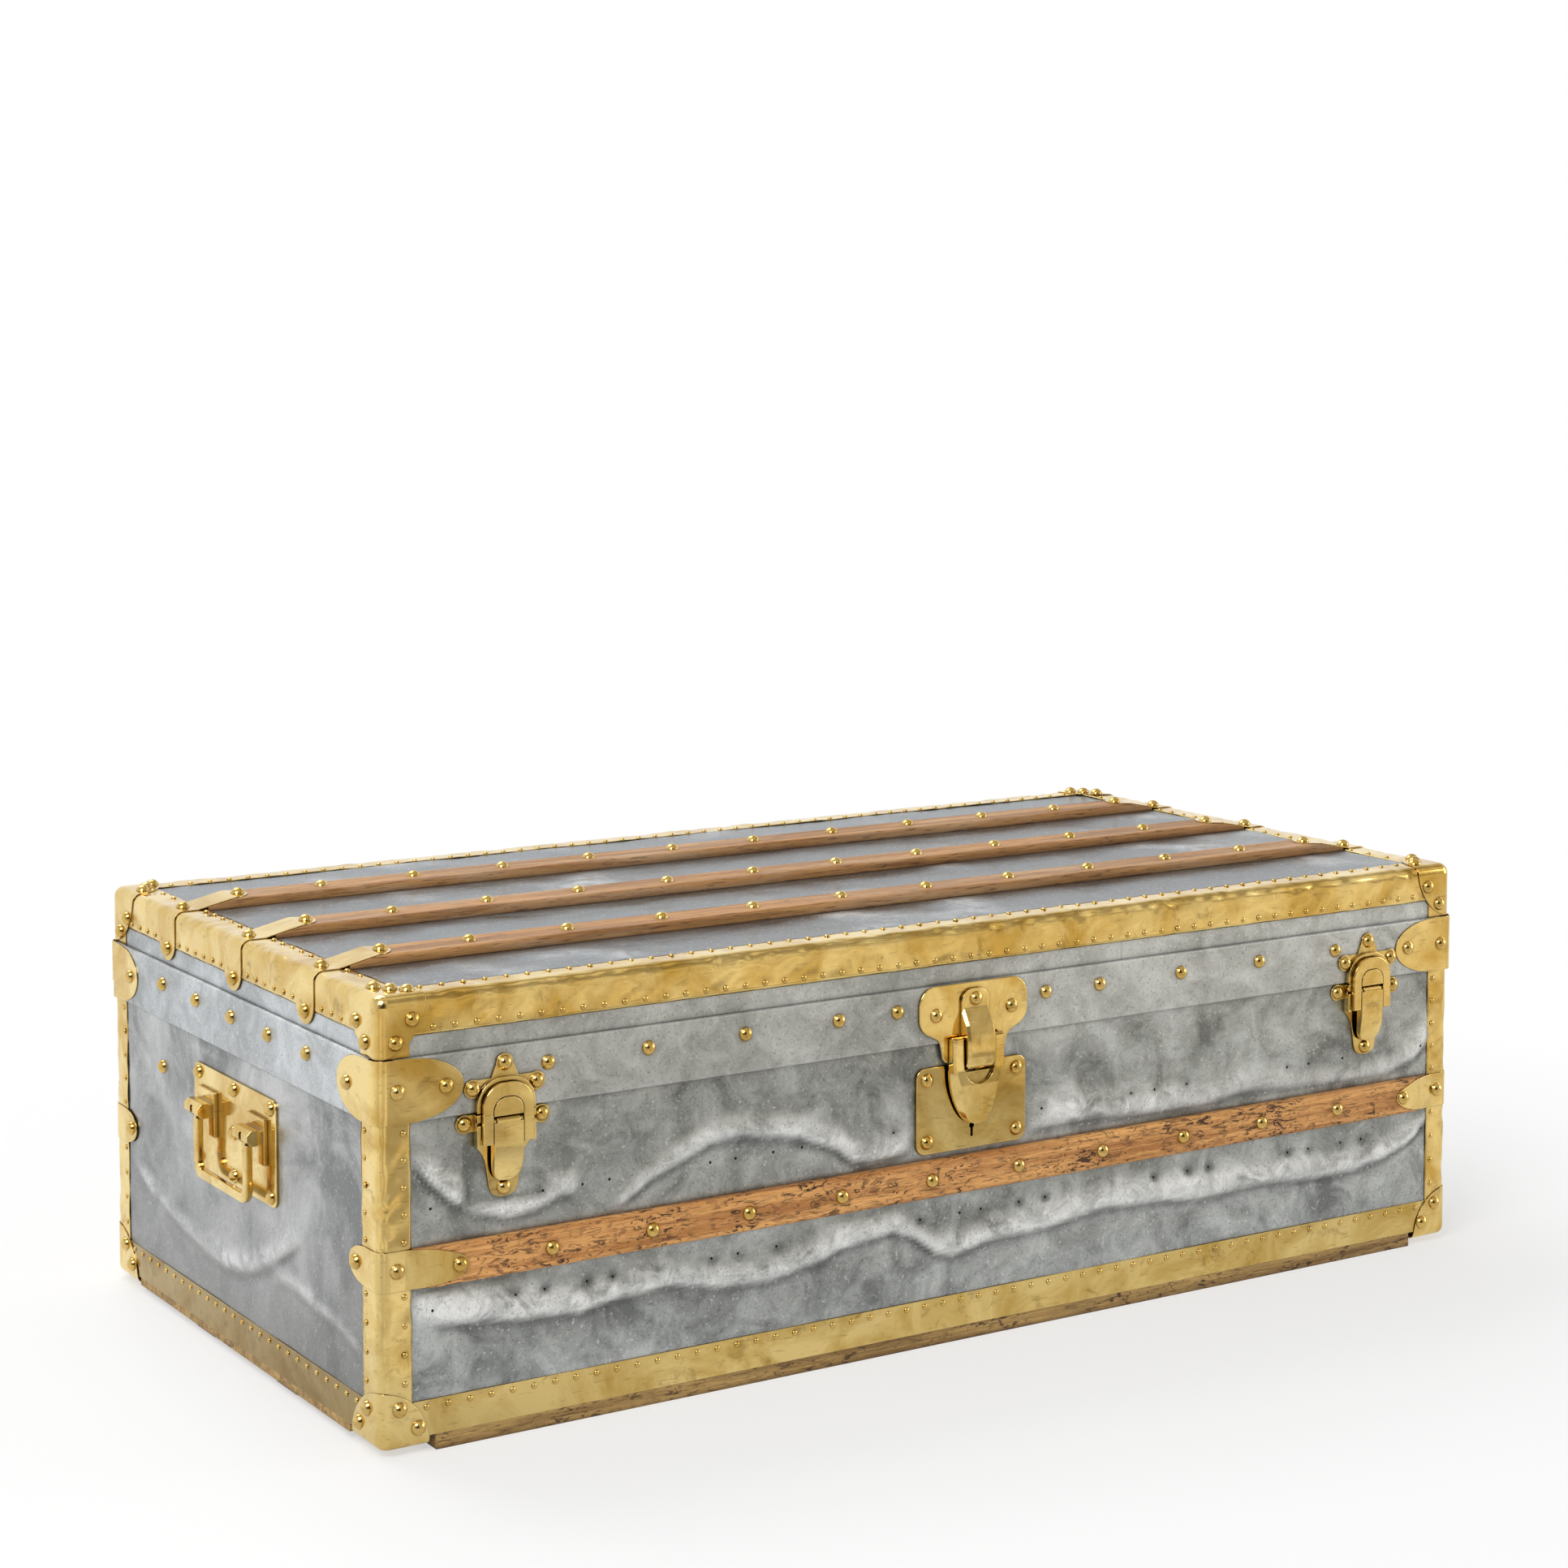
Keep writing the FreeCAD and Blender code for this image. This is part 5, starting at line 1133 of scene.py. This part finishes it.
@dataclass
class Zinc:
    """Every zinc surface, with the areas that fittings cover and the creases on the front and the ends."""

    # The front, end and top sheets are toned apart partly as painted light: each face's colours were set to
    # how bright it looks in its own light, as lit and shaded copies of one zinc, beside their own cloud and
    # hue. The end sheets also darken towards the bottom.
    finish_front: ZincFinish = ZincFinish("zinc_front")
    finish_end: ZincFinish = ZincFinish(
        "zinc_end", light=(0.57, 0.58, 0.58), dark=(0.18, 0.185, 0.185), crest=(0.70, 0.71, 0.71),
        clouds=(4.5, 13.0), contrast=0.09, rough_low=0.2, rough_high=0.36, foot=0.75)
    finish_top: ZincFinish = ZincFinish(
        "zinc_top", light=(0.25, 0.28, 0.305), dark=(0.125, 0.142, 0.156), streaks=(0.5, 1.4, 1.0),
        rough_low=0.22, rough_high=0.36)
    # The band's edges are painted pale, a painted highlight along them.
    finish_band: ZincFinish = ZincFinish(
        "zinc_band", light=(0.66, 0.69, 0.71), dark=(0.35, 0.37, 0.378), shaped=False, wear_and_highlight=0.9)
    # Near-black finish for the discs in the nail holes: painted shade inside the holes.
    finish_hole: SteelFinish = SteelFinish("nail_hole_shade", (0.05, 0.048, 0.045), (0.015, 0.014, 0.013), 0.7)
    flat: tuple[str, ...] = ("front_band", "end_bands", "lid_rim_sheets")
    long: Point = (TRUNK.corner_radius - TRUNK.half_length, TRUNK.half_length - TRUNK.corner_radius)
    short: Point = (TRUNK.corner_radius - TRUNK.half_depth, TRUNK.half_depth - TRUNK.corner_radius)
    levels: Point = (TRUNK.box_bottom, TRUNK.split)
    slat_margin: float = 2.0
    slat: Area = (*long, TRUNK.slat_bottom - slat_margin, TRUNK.slat_top + slat_margin)
    top_slat_half: float = 20.0
    lock: Area = (-57.0, 57.0, 165.0, 262.0)
    lock_gap: Area = (-24.0, 24.0, 168.0, 200.0)
    latches: tuple[Area, ...] = tuple((x - 30.0, x + 30.0, 190.0, 262.0) for x in (-445.0, 445.0))
    hinges: tuple[Area, ...] = tuple((x - 38.0, x + 38.0, 228.0, 275.0) for x in (-370.0, 0.0, 370.0))
    handle: Area = (-88.0, 88.0, 146.0, 240.0)
    long_crease: Crease = Crease((
        (-515, 109), (-471, 101), (-417, 96), (-378, 92), (-346, 98), (-302, 101), (-251, 91), (-205, 88),
        (-178, 92), (-152, 97), (-133, 104), (-79, 109), (-57, 100), (-36, 84), (-18, 79), (3, 83), (21, 87),
        (82, 90), (145, 97), (184, 96), (249, 90), (336, 92), (395, 87), (437, 88), (472, 94), (498, 102),
        (526, 118)), height=3.0, above=17.0, below=6.0, hollow=0.7, hollow_drop=15.0)
    smile_crease: Crease = Crease((
        (-520, 228), (-506, 213), (-489, 198), (-468, 187), (-442, 178), (-416, 181), (-397, 187),
        (-370, 188)), height=2.2, above=15.0, below=6.0)
    hill_crease: Crease = Crease((
        (-354, 163), (-339, 171), (-314, 187), (-289, 197), (-256, 210), (-230, 212), (-173, 203),
        (-149, 194), (-133, 187), (-120, 175), (-101, 170), (-66, 176)), height=2.2, above=13.0, below=6.5)
    right_crease: Crease = Crease((
        (60, 177), (107, 180), (151, 177), (248, 171), (298, 178), (390, 172), (471, 171), (507, 183),
        (528, 199)), height=2.0, above=20.0, below=6.0)
    end_wave: Crease = Crease((
        (-225, 114), (-191, 102), (-163, 96), (-116, 86), (-70, 80), (-25, 79), (25, 87), (62, 101),
        (98, 120), (128, 136)), height=1.9, above=12.0, below=6.0)
    end_fold: Crease = Crease((
        (74, 97), (121, 97), (155, 92), (199, 87), (245, 75)), height=1.6, above=9.0, below=7.0)
    end_knocks: Dimples = Dimples((
        (191, 176), (213, 188), (-177, 100), (-165, 244), (121, 107), (-133, 188), (39, 129)),
        radius=13.0, depth=1.0)
    upper_holes: tuple[float, ...] = (
        -507, -410, -375, -350, -257, -233, -197, -169, -79, 75, 173, 199, 236, 353, 379, 420, 515)
    lower_holes: tuple[float, ...] = (
        -507, -435, -409, -371, -348, -256, -231, -194, -51, -10, 12, 52, 80, 199, 238, 262, 355, 380, 419,
        444, 519)
    hole_levels: Point = (110.0, 189.0)
    hole_out: float = -0.1

    def build(self) -> list[Piece]:
        """Make the dented sheets and dress the flat ones.

        Returns:
            The dented sheets and the dark discs of painted shade in the nail holes.
        """
        front = self.front()
        made = [front.build(), self.back(), *self.ends(), self.top(), self.holes(front)]
        dress(self.finish_band.make(), self.flat)
        return made

    def hole_rows(self) -> tuple[tuple[Point, ...], tuple[Point, ...]]:
        """The lower and the upper row of nail holes on the front."""
        low, high = self.hole_levels
        return tuple((x, low) for x in self.lower_holes), tuple((x, high) for x in self.upper_holes)

    def front(self) -> ZincSheet:
        """The front of the chest, with its long crease below the slat.

        Returns:
            The sheet, not yet built.
        """
        lower, upper = self.hole_rows()
        dents = (self.long_crease, self.smile_crease, self.hill_crease, self.right_crease,
                 Dimples(lower, radius=8.5, depth=1.3), Dimples(upper, radius=7.0, depth=0.6))
        return ZincSheet("front_zinc", "front_sheet", "chest", Face.FRONT, self.long, self.levels,
                         self.finish_front.make(), seed=5, dents=dents, step=3.5,
                         covered=(self.lock, self.slat, *self.latches), gap=self.lock_gap)

    def holes(self, sheet: ZincSheet) -> Piece:
        """Dark discs in the two rows of nail holes on the front, as painted shade inside the holes.

        Args:
            sheet: the dented sheet that they stand in.

        Returns:
            The discs, as one piece.
        """
        lower, upper = self.hole_rows()
        spots = lower + upper
        lifts = sheet.heights(*np.array(spots).T)
        rows = [NailRow(Face.FRONT, spot, spot, lift + self.hole_out) for spot, lift in zip(spots, lifts)]
        return SmallNails("nail_hole_shade_discs", "chest", rows, self.finish_hole.make(), "steel", radius=1.3,
                          height=0.5, single=True).build()

    def back(self) -> Piece:
        """The back of the chest."""
        return ZincSheet("back_zinc", "back_sheet", "chest", Face.BACK, self.long, self.levels,
                         self.finish_front.make(), seed=11, covered=(self.slat, *self.hinges)).build()

    def ends(self) -> list[Piece]:
        """The two ends of the chest.

        Returns:
            The left and the right sheet.
        """
        finish = self.finish_end.make()
        dents = (self.end_wave, self.end_fold, self.end_knocks)
        made = []
        for face, name, seed in ((Face.LEFT, "left", 21), (Face.RIGHT, "right", 29)):
            made.append(ZincSheet(name + "_zinc", name + "_sheet", "chest", face, self.short, self.levels,
                                  finish, seed=seed, dents=dents, covered=(self.handle,)).build())
        return made

    def top(self) -> Piece:
        """The top of the lid, sagging a little between the slats.

        Returns:
            The sheet.
        """
        x = TRUNK.half_length - TRUNK.top_radius
        y = TRUNK.half_depth - TRUNK.top_radius
        half = self.top_slat_half
        slats = tuple((-x, x, slat - half, slat + half) for slat in TRUNK.top_slats)
        return ZincSheet("lid_zinc", "lid_top_sheet", "lid", Face.TOP, (-x, x), (-y, y),
                         self.finish_top.make(), step=6.0, seed=37, waviness=0.9, covered=slats).build()


@dataclass
class Binding:
    """Brass strips, caps, brackets and plates, and the lengths that nails and calm stretches keep to."""

    strip: BrassFinish = BrassFinish("brass_strip")
    folded: BrassFinish = BrassFinish("brass_folded", wrinkle=0.2)
    plate: BrassFinish = BrassFinish("brass_plate", wrinkle=0.2, smear_and_reflection_share=0.4)
    fitting: BrassFinish = BrassFinish("brass_fitting", wrinkle=0.15, smear_and_reflection_share=0.5, edge=0.001)
    nail: BrassFinish = BrassFinish("brass_nail", bright=(0.72, 0.51, 0.18), wrinkle=0.08, sway=0.0)
    # The foot strips get a painted dark reflection on their end faces.
    foot: BrassFinish = BrassFinish(
        "brass_foot", bright=(0.78, 0.60, 0.25), tarnish_and_reflection=(0.54, 0.36, 0.09), end_dark_reflection=0.6)
    plates: tuple[str, ...] = (
        "top_corner_caps", "bottom_corner_caps", "slat_brackets", "band_brackets", "slat_straps",
        "lock_plate", "hasp_plate", "handle_plates", "chest_hinge_leaves", "lid_hinge_leaves")
    fittings: tuple[str, ...] = (
        "hasp_bridge", "hasp_lever", "hasp_pin", "latch_pins", "latch_keepers", "left_latch_base",
        "right_latch_base", "left_latch_lever", "right_latch_lever", "left_latch_bail", "right_latch_bail",
        "handle_saddles", "left_handle", "right_handle", "hinge_pins")
    cap_reach: float = 46.0
    cap_calm: Point = (20.0, 27.0)
    bracket_calm: Point = (3.0, 5.0)
    strap_half: float = 22.0
    beyond: float = 5.0
    joint_gap: float = 0.3
    post_gap: float = 0.5
    post_nails: float = 6.0
    foot_nails: float = 5.5
    top_nails: float = 5.0
    foot_row_end: float = 18.0
    post_rows: tuple[Point, ...] = ((56.0, 124.0), (166.0, TRUNK.band_bottom - 8.0))
    strap_rows: tuple[Point, ...] = ((-220.0, -170.0), (-120.0, -26.0), (26.0, 120.0), (170.0, 220.0))

    def build(self) -> list[Piece]:
        """Dress the brass, beat the folded strips and set the small nails.

        Returns:
            The folded strips and the small nails.
        """
        nail = self.nail.make()
        folded = self.folded.make()
        posts = FoldedStrips("beaten_posts", "corner_posts", "chest", self.posts(), folded, ripple=0.16,
                             crumple=0.8, spacing=11.0)
        edges = FoldedStrips("beaten_top_edges", "top_edges", "lid", self.top_edges(), folded, crumple=1.0,
                             spacing=9.0)
        for finish, nodes in ((self.strip, ("lid_posts",)), (self.foot, ("bottom_edges",)),
                              (self.plate, self.plates), (self.fitting, self.fittings)):
            dress(finish.make(), nodes)
        dress(nail, ("chest_nails", "lid_nails"))
        chest = SmallNails("chest_small_nails", "chest", self.chest_rows(), nail)
        lid = SmallNails("lid_small_nails", "lid", self.lid_rows(), nail)
        return [posts.build(), edges.build(), chest.build(), lid.build()]

    def posts(self) -> list[Fold]:
        """The four corner posts of the chest, calm under the brackets and caps.

        Returns:
            The posts, as folds.
        """
        low, high = TRUNK.box_bottom, TRUNK.split - self.post_gap
        slat_calm, band_calm = self.bracket_calm
        covered = ((-self.beyond, self.cap_reach),
                   (TRUNK.slat_bottom - low - slat_calm, TRUNK.slat_top - low + slat_calm),
                   (TRUNK.band_bottom - low - band_calm, TRUNK.split))
        x, y = TRUNK.half_length + TRUNK.brass, TRUNK.half_depth + TRUNK.brass
        reach = (TRUNK.post_front + TRUNK.brass, TRUNK.post_side + TRUNK.brass)
        radius = TRUNK.corner_radius + TRUNK.brass
        return [Fold((a * x, b * y, low), (a * x, b * y, high), (-a, 0, 0), (0, -b, 0), reach, radius,
                     covered) for a in (-1, 1) for b in (-1, 1)]

    def top_edges(self) -> list[Fold]:
        """The strips along the four top edges of the lid, calm under the caps and straps.

        Returns:
            The strips, as folds, the front and back ones first.
        """
        x, y = TRUNK.half_length + TRUNK.brass, TRUNK.half_depth + TRUNK.brass
        z = TRUNK.top + TRUNK.brass
        end_x = TRUNK.half_length - TRUNK.post_front - self.joint_gap
        end_y = TRUNK.half_depth - TRUNK.post_side - self.joint_gap
        drop = TRUNK.top_edge_drop + TRUNK.brass
        front = (TRUNK.top_edge_front + TRUNK.brass, drop)
        side = (TRUNK.top_edge_end + TRUNK.brass, drop)
        radius = TRUNK.top_radius + TRUNK.brass
        caps_x, caps_y = (((-self.beyond, calm), (2 * end - calm, 2 * end + self.beyond))
                          for end, calm in zip((end_x, end_y), self.cap_calm))
        straps = tuple((end_y + slat - self.strap_half, end_y + slat + self.strap_half)
                       for slat in TRUNK.top_slats)
        folds = [Fold((-end_x, b * y, z), (end_x, b * y, z), (0, -b, 0), (0, 0, -1), front, radius, caps_x)
                 for b in (-1, 1)]
        folds += [Fold((a * x, -end_y, z), (a * x, end_y, z), (-a, 0, 0), (0, 0, -1), side, radius,
                       straps + caps_y) for a in (-1, 1)]
        return folds

    def chest_rows(self) -> list[NailRow]:
        """Rows along the posts and the bottom edges.

        Returns:
            The rows on the chest.
        """
        rows = []
        level = TRUNK.box_bottom + TRUNK.bottom_edge - self.foot_nails
        for face in SIDES:
            half = TRUNK.half_width(face)
            flange = TRUNK.post_front if half == TRUNK.half_length else TRUNK.post_side
            inset = flange - self.post_nails
            end = half - inset - self.foot_row_end
            rows.append(NailRow(face, (-end, level), (end, level)))
            for side in (-1, 1):
                u = side * (half - inset)
                rows += [NailRow(face, (u, low), (u, high)) for low, high in self.post_rows]
        return rows

    def lid_rows(self) -> list[NailRow]:
        """Rows along both flanges of the top edges.

        Returns:
            The rows on the lid.
        """
        rows = []
        level = TRUNK.top - TRUNK.top_edge_drop + self.top_nails
        for face in SIDES:
            end = TRUNK.half_width(face) - self.cap_reach
            rows.append(NailRow(face, (-end, level), (end, level)))
        flat_y = TRUNK.half_depth - TRUNK.top_edge_front + self.top_nails
        flat_x = TRUNK.half_length - TRUNK.top_edge_end + self.top_nails
        end_x = TRUNK.half_length - self.cap_reach
        for side in (-1, 1):
            rows.append(NailRow(Face.TOP, (-end_x, side * flat_y), (end_x, side * flat_y)))
            for low, high in self.strap_rows:
                rows.append(NailRow(Face.TOP, (side * flat_x, low), (side * flat_x, high)))
        return rows


@dataclass
class Woodwork:
    """Slats, rails, runners and the boards of the box."""

    top: WoodFinish = WoodFinish("wood_top_slat", bleached=0.3)
    front: WoodFinish = WoodFinish(
        "wood_front_slat", light=(0.92, 0.48, 0.165), deep=(0.50, 0.21, 0.06), damage=1.0)
    base: WoodFinish = WoodFinish(
        "wood_base", light=(0.60, 0.39, 0.14), deep=(0.24, 0.135, 0.045), damage=0.9)
    board: WoodFinish = WoodFinish(
        "wood_board", light=(0.55, 0.38, 0.20), deep=(0.40, 0.25, 0.12), damage=0.1)

    def build(self) -> None:
        """Dress every wooden node."""
        dress(self.top.make(), ("top_slat_front", "top_slat_middle", "top_slat_back"))
        dress(self.front.make(), ("front_slat", "back_slat"))
        dress(self.base.make(), ("base_rails", "runners"))
        dress(self.board.make(), ("floor_board", "front_board", "back_board", "left_board", "right_board",
                                  "lid_top_board", "lid_rim_boards"))


@dataclass
class Inside:
    """Lining and lock works."""

    cloth: ClothFinish = ClothFinish("lining_cloth")
    steel: SteelFinish = SteelFinish("lock_steel")

    def build(self) -> None:
        """Dress what is inside the box."""
        dress(self.cloth.make(), ("chest_lining", "lid_lining"))
        dress(self.steel.make(), ("lock_case", "lock_bolt", "lock_spring"))


@dataclass(frozen=True)
class Lamp:
    """A square lamp: its place and size in metres and its power in watts."""

    name: str
    place: Triple
    size: float
    power: float


@dataclass
class Studio:
    """Floor, lights, backdrop colour and camera, in metres."""

    lens: float = 73.95
    sensor: float = 36.0
    shift: float = -0.158
    far: float = 60.0
    camera_at: Triple = (-1.57095, -2.47261, 0.88110)
    camera_along: Triple = (0.53206, 0.84363, -0.07217)
    lamps: tuple[Lamp, ...] = (
        Lamp("key", (-2.2, -1.6, 2.6), size=1.6, power=60.0),
        Lamp("fill", (3.2, -1.5, 1.0), size=1.6, power=26.0),
        Lamp("top", (-0.5, 1.7, 2.7), size=1.8, power=40.0))
    lamps_aim: Triple = (0.0, 0.0, 0.15)
    sky: float = 0.6
    sky_behind: float = 0.4
    room_light: Colour = (0.86, 0.79, 0.66)
    room_dark: Colour = (0.33, 0.29, 0.22)
    room_far: Colour = (1.0, 0.9, 0.72)
    room_patches: Mottle = Mottle(2.4, 2.0, 0.5, 0.42, 0.58)
    room_span: Point = (-0.8, 0.3)
    den: Colour = (0.05, 0.043, 0.034)
    den_span: Point = (0.72, 0.94)
    ceiling_span: Point = (0.4, 0.85)
    floor_colour: Colour = (0.86, 0.86, 0.86)
    floor_patches: Mottle = Mottle(1.7, 2.0, 0.5, 0.44, 0.56)
    floor_radius: float = 6.0
    floor_points: int = 96
    floor_fade: Area = (0.62, 1.25, 0.55, 1.0)
    floor_far: Area = (0.95, 1.7, 0.0, 0.55)

    def build(self) -> None:
        """Set the stage."""
        self.floor()
        self.world()
        self.light()
        self.camera()
        bpy.context.scene.view_settings.view_transform = "Standard"

    def floor(self) -> None:
        """A pale round floor that fades to white away from the trunk."""
        mesh = bpy.data.meshes.new("floor")
        radius = self.floor_radius
        turns = [2 * math.pi * i / self.floor_points for i in range(self.floor_points)]
        rim = [(radius * math.cos(turn), radius * math.sin(turn), 0.0) for turn in turns]
        mesh.from_pydata(rim, [], [tuple(range(self.floor_points))])
        material = bpy.data.materials.new("floor_pale")
        t = Tree(material, "Object")
        away = t.math("LENGTH", t.coords, kind="VectorMath")
        room = t.mix(self.floor_patches.show(t), self.room_dark, self.room_light)
        room = t.mix(t.spread(away, *self.floor_far), room, self.room_far)
        matt = t.node("BsdfDiffuse", Color=self.floor_colour)
        shader = self.seen(t, t.spread(t.place("Y"), *self.room_span), room, matt, "Emission",
                           t.spread(away, *self.floor_fade))
        t.node("OutputMaterial", Surface=shader)
        mesh.materials.append(material)
        floor = placed("floor", mesh)

    def seen(self, t: Tree, open_side: Socket, room: Socket, lit: bpy.types.Node, kind: str,
             share: object = 1.0) -> Socket:
        """A shader that rays from the camera and off shiny things see as plain white or as a dim, warm room.

        Args:
            t: the tree to work in.
            open_side: 1 where the studio is white, 0 towards the dim room.
            room: the room's colour.
            lit: the shader for all other rays.
            kind: kind of the plain shader.
            share: how far the background covers the other shader.

        Returns:
            The shader.
        """
        path = t.node("LightPath").outputs
        direct = t.math("MAXIMUM", path["Is Camera Ray"], path["Is Transmission Ray"])
        shown = t.math("MAXIMUM", direct, path["Is Glossy Ray"])
        plain = t.node(kind, Color=t.mix(t.math("MAXIMUM", direct, open_side), room, WHITE))
        blend = t.node("MixShader", Fac=t.math("MULTIPLY", shown, share))
        t.feed(blend.inputs[1], lit.outputs[0])
        t.feed(blend.inputs[2], plain.outputs[0])
        return blend.outputs[0]

    def world(self) -> None:
        """White where it is seen, a softer level where it lights."""
        world = bpy.data.worlds.new("studio")
        bpy.context.scene.world = world
        t = Tree(world, "Generated")
        behind = t.spread(t.place("Y"), *self.room_span)
        ceiling = t.spread(t.place("Z"), *self.ceiling_span, 1.0, 0.0)
        room = t.mix(self.room_patches.show(t), self.room_dark, self.room_light)
        facing = t.math("DOT_PRODUCT", t.coords, Vector(self.camera_at).normalized(), "VectorMath")
        room = t.mix(t.spread(facing, *self.den_span), room, self.den)
        strength = t.spread(behind, 0.0, 1.0, self.sky * self.sky_behind, self.sky)
        light = t.node("Background", Color=WHITE, Strength=strength)
        shader = self.seen(t, t.math("MULTIPLY", behind, ceiling), room, light, "Background")
        t.node("OutputWorld", Surface=shader)

    def light(self) -> None:
        """The lamps, turned to the trunk."""
        for lamp in self.lamps:
            data = bpy.data.lights.new(lamp.name, "AREA")
            data.size = lamp.size
            data.energy = lamp.power
            self.aim(placed(lamp.name, data), lamp.place, Vector(self.lamps_aim) - Vector(lamp.place))

    def camera(self) -> None:
        """The camera at the photograph's viewing angle."""
        data = bpy.data.cameras.new("camera")
        data.lens = self.lens
        data.sensor_width = self.sensor
        data.shift_y = self.shift
        data.clip_end = self.far
        thing = placed("camera", data)
        self.aim(thing, self.camera_at, Vector(self.camera_along))
        bpy.context.scene.camera = thing

    def aim(self, thing: Piece, place: Triple, along: Vector) -> None:
        """Set a lamp or the camera at a place, looking along a direction."""
        thing.location = place
        thing.rotation_euler = along.to_track_quat("-Z", "Y").to_euler()


def main() -> None:
    """Dress the trunk and set the stage."""
    logging.basicConfig(level=logging.INFO)
    Woodwork().build()
    Inside().build()
    for assembly in (Zinc(), Binding()):
        for piece in assembly.build():
            LOG.info("made %s with %d faces", piece.name, len(piece.data.polygons))
    Studio().build()


if __name__ == "__main__":
    main()
